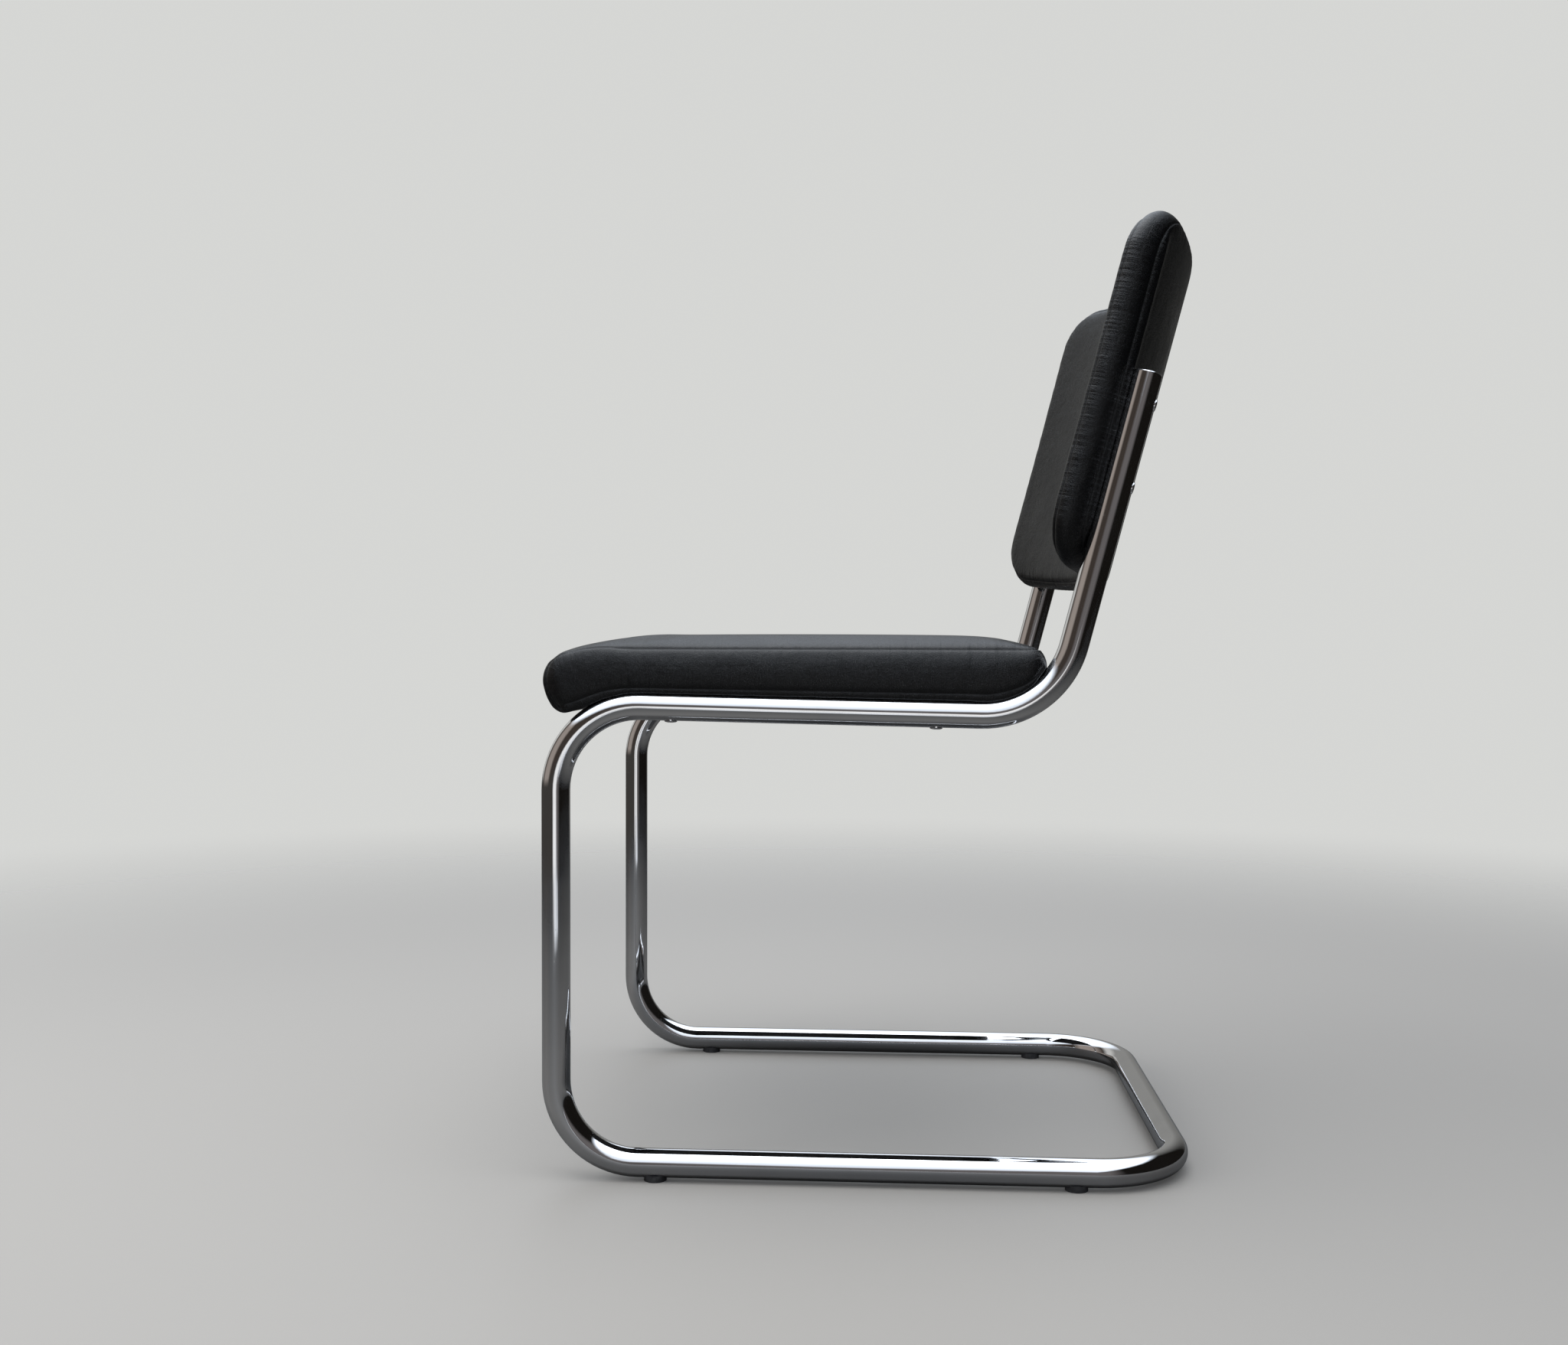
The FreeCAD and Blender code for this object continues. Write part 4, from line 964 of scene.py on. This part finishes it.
def seam_tree(piece, spacing):
    """A search tree of points along the marked seams."""
    ends = points_of(piece)
    points = []
    for edge in piece.data.edges:
        if edge.use_seam:
            first, last = ends[list(edge.vertices)]
            count = max(1, int(np.linalg.norm(last - first) / spacing))
            shares = np.linspace(0, 1, count, endpoint=False)
            points += [first + (last - first) * share for share in shares]
    tree = KDTree(len(points))
    for index, point in enumerate(points):
        tree.insert(point, index)
    tree.balance()
    return tree


def open_seams(piece, width, depth):
    """Bevels the marked seams and pushes their middle line in."""
    tree = seam_tree(piece, 0.2 * MM)
    edit(piece, "EDGE")
    close_edit()
    for edge in piece.data.edges:
        edge.select = edge.use_seam
    bpy.ops.object.mode_set(mode="EDIT")
    bpy.ops.mesh.bevel(offset=width, segments=2, profile=1.0, affect="EDGES")
    close_edit()
    points = points_of(piece)
    for vertex in piece.data.vertices:
        if tree.find(vertex.co)[2] < 0.25 * MM:
            points[vertex.index] -= depth * np.array(vertex.normal)
    set_points(piece, points)
    return tree


def wave_noise(points, scale):
    """A smooth, repeatable noise between -1 and 1, from crossed sine waves."""
    x, y, z = (points * scale).T
    first = np.sin(1.7 * x + 2.1 * np.sin(0.9 * y) + 0.7 * z)
    second = np.sin(1.3 * y + 1.9 * np.sin(1.1 * z))
    third = np.sin(1.1 * z + 2.3 * np.sin(0.8 * x))
    return (first + second + third) / 3


def gather(piece, tree, height, reach, spacing):
    """Draws small gathers across the seams, and keeps the distance to the seam as an attribute."""
    points = points_of(piece)
    normals = np.array([vertex.normal for vertex in piece.data.vertices])
    nearest = [tree.find(point) for point in points]
    distance = np.array([found[2] for found in nearest])
    foot = np.array([found[0] for found in nearest])
    wave = wave_noise(foot, 2 * math.pi / spacing) * np.exp(-distance / reach)
    wave *= 1 - np.exp(-distance / (2 * MM))
    set_points(piece, points + normals * (height * wave)[:, None])
    attribute = piece.data.attributes.new("seam_distance", "FLOAT", "POINT")
    attribute.data.foreach_set("value", distance.astype(np.float32))
    attribute = piece.data.attributes.new("seam_foot", "FLOAT_VECTOR", "POINT")
    attribute.data.foreach_set("vector", foot.astype(np.float32).ravel())


def upholster(pad, held, swell, seam, gathers):
    """Blows a pad up, opens its seams, smooths it and draws its gathers. seam is the width and
    depth of the seams, and gathers is the reach and the spacing of the gathers."""
    inflate(pad, held, swell)
    tree = open_seams(pad, *seam)
    apply_modifier(pad, "SUBSURF", levels=2, render_levels=2)
    gather(pad, tree, GATHER_HEIGHT, *gathers)
    face_outward(pad)
    bpy.ops.object.shade_smooth()


# %% [markdown]
# ## Seat pad
# From the side the seat has a long, nearly flat crown, a drooping round nose and a round rear that
# nests in the bend of the tube. A seam runs along each side below the crown, dives over the nose
# at the front and goes round the rear. The pad is flat only where it lies on the rails, and its
# foot hangs a little round their outer side.

# %% Seat outline
SEAT_FRONT_CORNER = 18 * MM
SEAT_REAR_CORNER = 16 * MM
SEAT_CROWN = 480 * MM
SEAT_SEAM = 467 * MM
NOSE_RADIUS = 26 * MM
SIDE_SWELL = 1.6 * MM
TOP_SWELL = 2.2 * MM
REST_GAP = 0.1 * MM
LIP_RADIUS = 11 * MM
TIP_LIFT = 1.0 * MM
# Angles on the nose, on the front bend and on the rear bend, in degrees.
NOSE_TOP, SEAM_TOP, NOSE_EDGE, NOSE_FOOT, LIFT_OFF = 107, 110, 142, 205, 119
REAR_TIP_TURN = -36.5
# The point of the rear round that the seam goes through.
SEAM_STEP = 15

seat_low, seat_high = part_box("seat_side_band")
top_low, top_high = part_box("seat_top_panel")
seat_half = max(seat_high[0], top_high[0])
seat_front = min(seat_low[1], top_low[1])
seat_rear = seat_high[1]

nose_centre = (seat_front + NOSE_RADIUS, 439.2 * MM)
nose_radius = NOSE_RADIUS + 0.6 * MM
rest = TUBE_RADIUS + REST_GAP
rest_rear = np.array((rail_rear.y, rail_rear.z)) + rest * np.array((rail_up.y, rail_up.z))
slope = math.degrees(RAIL_SLOPE)
bend_rest = REAR_BEND - rest
rear_centre = (rear_bend.y, rear_bend.z)
front_centre = (front_bend_y, front_bend_z)

crown_z = SEAT_CROWN - 0.7 * MM - TOP_SWELL
crown_front = (front_y + 107 * MM, crown_z)
crown_rear = (front_y + 378 * MM, crown_z)
rear_tip = ring_point(rear_centre, bend_rest + TIP_LIFT, REAR_TIP_TURN)
shoulder = rear_tip + np.array((-15.5, 21.5)) * MM
rear_round = heading_arc(rear_tip, 85, shoulder)
nose_top = ring_point(nose_centre, nose_radius, NOSE_TOP)
nose_foot = ring_point(nose_centre, nose_radius, NOSE_FOOT)
lip = (seat_front + 18 * MM, 409.7 * MM)
lip_round = centred_arc((lip[0], lip[1] + LIP_RADIUS), LIP_RADIUS, 270, 220, 8)
lift_off = ring_point(front_centre, FRONT_BEND + rest, LIFT_OFF)
rear_seam = rear_round[SEAM_STEP]

# The four stretches of the full outline, the front one upwards and the others rearwards.
top_full = Outline(
    centred_arc(nose_centre, nose_radius, NOSE_EDGE, NOSE_TOP),
    heading_arc(nose_top, 17, crown_front),
    heading_arc(crown_front, 0.6, crown_rear),
    heading_arc(crown_rear, 0, shoulder),
    rear_round[: SEAM_STEP - 1 : -1],
)
front_full = Outline(
    lip_round[:-1],
    heading_arc(lip_round[-1], 130, nose_foot)[:-1],
    centred_arc(nose_centre, nose_radius, NOSE_FOOT, NOSE_EDGE),
)
bottom_full = Outline(
    heading_arc(lip, 12, lift_off),
    centred_arc(front_centre, FRONT_BEND + rest, LIFT_OFF, 90 - slope),
    [rest_rear],
    centred_arc(rear_centre, bend_rest + TIP_LIFT, -90 - slope, REAR_TIP_TURN),
)
rear_full = Outline(rear_round[: SEAM_STEP + 1])

# Where the seam runs, seen from the side, and the band's front edge below it.
SEAM_NOSE = 24 * MM
seam_turn = ring_point(nose_centre, SEAM_NOSE, SEAM_TOP)
seam_under = ring_point(nose_centre, SEAM_NOSE, NOSE_FOOT)
top_seam = Outline(
    centred_arc(nose_centre, SEAM_NOSE, NOSE_EDGE, SEAM_TOP),
    heading_arc(seam_turn, 20, (front_y + 62 * MM, SEAT_SEAM)),
    [rear_seam],
)
front_seam = Outline(
    heading_arc((lip[0] + 3 * MM, lip[1] + 0.5 * MM), 140, seam_under),
    centred_arc(nose_centre, SEAM_NOSE, NOSE_FOOT, NOSE_EDGE),
)
print("top outline", round(top_full.length, 4), "bottom", round(bottom_full.length, 4))

# %% Seat block
EDGE_STEPS = np.array((4, 5, 6, 7, 7, 7)) * MM
SEAT_CELL = 11.5 * MM
seat_across = graded(2 * seat_half, EDGE_STEPS, SEAT_CELL)
seat_along = graded(top_full.length, EDGE_STEPS, SEAT_CELL)
seat_up = np.array((0, 0.15, 0.32, 0.5, 0.66, 0.79, 0.9, 1))
seat_pad, seat_shares = make_block("seat_pad", seat_across, seat_along, seat_up)

CROWN_ROLL = 36 * MM
NOSE_ROLL = 12 * MM
NOSE_REACH = 90 * MM
BAND_DRAW_FOOT = 2.6 * MM
BAND_DRAW_SEAM = 7 * MM
BAND_WIDEST = 0.4
FOOT_SAG = 2.2 * MM
SAG_UP_TO = 0.5
SAG_FADE = 0.125
LIP_BLEND = 12
FRONT_LEAN = 62


def quarter(distance, reach):
    """How far a panel has sunk to its seam: 1 at the seam, 0 from the reach on, round between."""
    share = min(distance / reach, 1)
    return 1 - math.sqrt(1 - (1 - share) ** 2)


def side_point(along, up):
    """A point of the pad's side, between the bottom, the seam and both ends."""
    ends = (1 - along) * front_seam.at(up) + along * rear_full.at(up)
    sides = (1 - up) * bottom_full.at(along) + up * top_seam.at(along)
    corners = (1 - up) * ((1 - along) * front_seam.at(0) + along * rear_full.at(0))
    corners = corners + up * ((1 - along) * front_seam.at(1) + along * rear_full.at(1))
    return ends + sides - corners


def sagged(x, y, z, weight):
    """Lets the pad's foot hang round the rail's outer side, along the rail or round its bend."""
    over = min(max(x - half_track, 0), 0.9 * TUBE_RADIUS)
    drop = weight * min(TUBE_RADIUS - math.sqrt(TUBE_RADIUS**2 - over**2), FOOT_SAG)
    out = np.array((y - rear_centre[0], z - rear_centre[1])) if y > rest_rear[0] else (0.0, -1.0)
    return np.array((y, z)) + drop * np.array(out) / np.hypot(*out)


def seat_point(share):
    """Where a vertex of the block goes, from its shares across, along and upward."""
    across, along, up = share
    inward = min(across, 1 - across) * 2 * seat_half
    from_nose = min(along * top_full.length / NOSE_REACH, 1) if up == 1 else 0
    sink = quarter(inward, NOSE_ROLL + (CROWN_ROLL - NOSE_ROLL) * from_nose)
    if up == 1:
        y, z = (1 - sink) * top_full.at(along) + sink * top_seam.at(along)
    elif along == 0:
        y, z = (1 - sink) * front_full.at(up) + sink * front_seam.at(up)
    elif along == 1:
        y, z = rear_full.at(up)
    elif up == 0:
        y, z = bottom_full.at(along)
        y += sink * (1 - along) ** LIP_BLEND * (front_seam.at(0)[0] - lip[0])
    else:
        y, z = side_point(along, up)
    if up < BAND_WIDEST:
        draw = BAND_DRAW_FOOT * (1 - up / BAND_WIDEST) ** 2
    else:
        draw = BAND_DRAW_SEAM * ((up - BAND_WIDEST) / (1 - BAND_WIDEST)) ** 3
    half = seat_half - SIDE_SWELL - draw
    x = (2 * across - 1) * half
    if up < SAG_UP_TO:
        y, z = sagged(abs(x), y, z, (1 - up / SAG_UP_TO) * min(along / SAG_FADE, 1))
    side = math.copysign(1, x)
    if y < seat_front + SEAT_FRONT_CORNER and abs(x) > seat_half - SEAT_FRONT_CORNER:
        corner = (seat_half - SEAT_FRONT_CORNER, -(seat_front + SEAT_FRONT_CORNER))
        edge_y = -(front_seam if inward == 0 else front_full).at(up)[0]
        reach = (half - corner[0], edge_y - corner[1])
        x, y = corner_map(abs(x) - corner[0], -y - corner[1], corner, reach, FRONT_LEAN)
        x, y = side * x, -y
    elif y > seat_rear - SEAT_REAR_CORNER and abs(x) > seat_half - SEAT_REAR_CORNER:
        corner = (seat_half - SEAT_REAR_CORNER, seat_rear - SEAT_REAR_CORNER)
        reach = (half - corner[0], rear_full.at(up)[0] - corner[1])
        x, y = corner_map(abs(x) - corner[0], y - corner[1], corner, reach, EVEN_LEAN)
        x = side * x
    return x, y, z


set_points(seat_pad, [seat_point(share) for share in seat_shares])


# %% Seat seams and cushioning
def mark_seams(piece, shares, on_seam):
    """Marks each edge whose two ends lie on the same block edge."""
    for edge in piece.data.edges:
        first, last = (shares[index] for index in edge.vertices)
        edge.use_seam = any(test(first) and test(last) for test in on_seam)


def is_side(share):
    return share[0] in (0, 1)


mark_seams(
    seat_pad,
    seat_shares,
    [
        lambda share: is_side(share) and share[2] == 1,
        lambda share: is_side(share) and share[1] == 0,
        lambda share: share[1] == 1 and share[2] == 1,
        lambda share: is_side(share) and share[2] == seat_up[1],
    ],
)


def seat_hold(share):
    """How firmly a point is held while the pad is blown up."""
    _, along, up = share
    if up == 0 or along == 1 or (is_side(share) and (up == 1 or along == 0)):
        return 1.0
    return 0.0


upholster(
    seat_pad,
    [seat_hold(share) for share in seat_shares],
    swell=2.5 * MM,
    seam=(1.4 * MM, 1.6 * MM),
    gathers=(12 * MM, 24 * MM),
)
seat_nodes = ("seat_foam", "seat_top_panel", "seat_side_band")
finish_piece(seat_pad, "seat_pad", seat_leather, "seat_leather", *seat_nodes)

# %% [markdown]
# ## Back pad
# The back is a board bent round a wide upright cylinder and padded in front. Two seams run all the
# way round it, with a band of leather between them. Seen along the back's lean, a place on it has
# a distance across, a distance up the back, and a radius about the cylinder's axis. The front is
# full and rolls to its seam, and the rear is nearly flat, as it lies against the tubes.

# %% Back block
BACK_HALF = 232.5 * MM
BACK_LOW = 131 * MM
BACK_HIGH = 439 * MM
BACK_CORNER = 42 * MM
BACK_AXIS = (36.7 - 517) * MM
REAR_FACE = 517 * MM
REAR_SEAM = 515.4 * MM
FRONT_SEAM = 492.5 * MM
FRONT_ROLL = 5.75 * MM
FRONT_CROWN = 1.75 * MM
ROLL_LENGTH = 13 * MM
REAR_ROLL = 5 * MM
TUBE_PRESS = 0.8 * MM
BACK_SWELL = 1.2 * MM

BACK_DRAW = 1.5 * MM
BACK_BULGE = 5.5 * MM

back_middle = (BACK_LOW + BACK_HIGH) / 2
back_reach = (BACK_HIGH - BACK_LOW) / 2
BACK_STEPS = np.array((3.5, 4.5, 6, 8)) * MM
BACK_CELL = 9.5 * MM
back_across = graded(2 * BACK_HALF, BACK_STEPS, BACK_CELL)
back_along = graded(2 * back_reach, BACK_STEPS, BACK_CELL)
back_deep = np.linspace(0, 1, 8)
back_pad, back_shares = make_block("back_pad", back_across, back_along, back_deep)


def edge_distance(x, s):
    """How far a place on the back's outline is from its edge, with round corners."""
    u = abs(x) - (BACK_HALF - BACK_CORNER)
    v = abs(s) - (back_reach - BACK_CORNER)
    if u > 0 and v > 0:
        return BACK_CORNER - math.hypot(u, v)
    return BACK_CORNER - max(u, v)


def back_point(share):
    """Where a vertex of the block goes, from its shares across, up the back and forward."""
    across, along, deep = share
    grow = 4 * BACK_BULGE * deep * (1 - deep) - BACK_DRAW
    x = (2 * across - 1) * BACK_HALF
    s = (2 * along - 1) * back_reach
    x, s = round_off(x, s, (BACK_HALF, back_reach), BACK_CORNER)
    inward = max(edge_distance(x, s), 0)
    x *= 1 + grow / BACK_HALF
    s *= 1 + grow / back_reach
    if deep == 1:
        full = (1 - (x / BACK_HALF) ** 2) * (1 - (s / back_reach) ** 2)
        radius = FRONT_SEAM - FRONT_ROLL * (1 - quarter(inward, ROLL_LENGTH)) - FRONT_CROWN * full
        radius += BACK_SWELL * (1 - quarter(inward, 2 * ROLL_LENGTH))
    elif deep == 0:
        radius = REAR_SEAM + (REAR_FACE - REAR_SEAM) * (1 - quarter(inward, ROLL_LENGTH))
    else:
        radius = REAR_SEAM + (FRONT_SEAM - REAR_SEAM) * deep
    out = BACK_AXIS + math.sqrt(radius**2 - x**2)
    if deep == 0:
        out += max(TUBE_PRESS - TUBE_RADIUS - out, 0) * (1 - quarter(inward, REAR_ROLL))
    place = back_corner + out * back_out + (back_middle + s) * back_dir
    return x, place.y, place.z


set_points(back_pad, [back_point(share) for share in back_shares])

# %% Back seams and cushioning
mark_seams(
    back_pad,
    back_shares,
    [
        lambda share: share[2] in (0, 1) and share[0] in (0, 1),
        lambda share: share[2] in (0, 1) and share[1] in (0, 1),
    ],
)


def back_hold(share):
    across, along, deep = share
    edge = across in (0, 1) or along in (0, 1)
    return 1.0 if deep == 0 or (edge and deep == 1) else 0.0


upholster(
    back_pad,
    [back_hold(share) for share in back_shares],
    swell=1.6 * MM,
    seam=(1.2 * MM, 1.4 * MM),
    gathers=(8 * MM, 20 * MM),
)
back_nodes = ("back_foam", "back_front_panel", "back_side_band", "back_rear_panel")
finish_piece(back_pad, "back_pad", back_leather, "back_leather", *back_nodes)

# %% [markdown]
# ## Cloth cover below the seat
# A thin black cloth is stretched over the underside and stapled round its edge. It is drawn flat
# with round corners, given a slight unevenness, and made as thick as cloth. Each staple is a short
# piece of wire sunk into it.

# %% Under-cover
COVER_THICK = 0.6 * MM
COVER_CORNER = 30 * MM
cover_low, cover_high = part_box("seat_under_cover")
cover_half = (cover_high[0] - cover_low[0]) / 2
cover_length = cover_high[1] - cover_low[1]
cover_middle = (cover_high[1] + cover_low[1]) / 2
bpy.ops.object.select_all(action="DESELECT")
bpy.ops.mesh.primitive_grid_add(x_subdivisions=60, y_subdivisions=50, size=2)
cover = bpy.context.object


def cover_point(flat):
    x, y = flat[0] * cover_half, flat[1] * cover_length / 2
    x, y = round_off(x, y, (cover_half, cover_length / 2), COVER_CORNER)
    rim = 1 - max(abs(flat[0]), abs(flat[1])) ** 4
    ripple = 0.5 * MM * (1 + wave_noise(np.array([[x, y, 0.0]]), 60)[0]) * rim
    y += cover_middle
    return x, y, bottom_full.height(y) - COVER_THICK - ripple


set_points(cover, [cover_point(point) for point in points_of(cover)])
apply_modifier(cover, "SOLIDIFY", thickness=COVER_THICK, offset=-1)
bpy.ops.object.shade_smooth_by_angle(angle=math.radians(40))
finish_piece(cover, "under_cover", fleece, "cover_cloth", "seat_under_cover")

# %% Staples
STAPLE = (10 * MM, 1.2 * MM, 0.5 * MM)
STAPLE_INSET = 6 * MM
STAPLE_STEP = 45 * MM


def staple_places():
    """Places and directions just inside the cover's edge, about evenly spaced."""
    wide = cover_half - STAPLE_INSET
    deep = cover_length / 2 - STAPLE_INSET
    for side in (1, -1):
        for y in np.arange(-deep + COVER_CORNER, deep - COVER_CORNER + 1e-6, STAPLE_STEP):
            yield side * wide, cover_middle + y, math.pi / 2
        for x in np.arange(-wide + COVER_CORNER, wide - COVER_CORNER + 1e-6, STAPLE_STEP):
            yield x, cover_middle + side * deep, 0


staples = []
for x, y, turn in staple_places():
    z = bottom_full.height(y) - COVER_THICK - STAPLE[2] / 2
    bpy.ops.mesh.primitive_cube_add(size=1, location=(x, y, z), rotation=(0, 0, turn), scale=STAPLE)
    staple = bpy.context.object
    settle(staple)
    apply_modifier(staple, "BEVEL", width=0.15 * MM, segments=2)
    staples.append(staple)
staple_row = joined(staples)
finish_piece(staple_row, "cover_staples", zinc, "nut")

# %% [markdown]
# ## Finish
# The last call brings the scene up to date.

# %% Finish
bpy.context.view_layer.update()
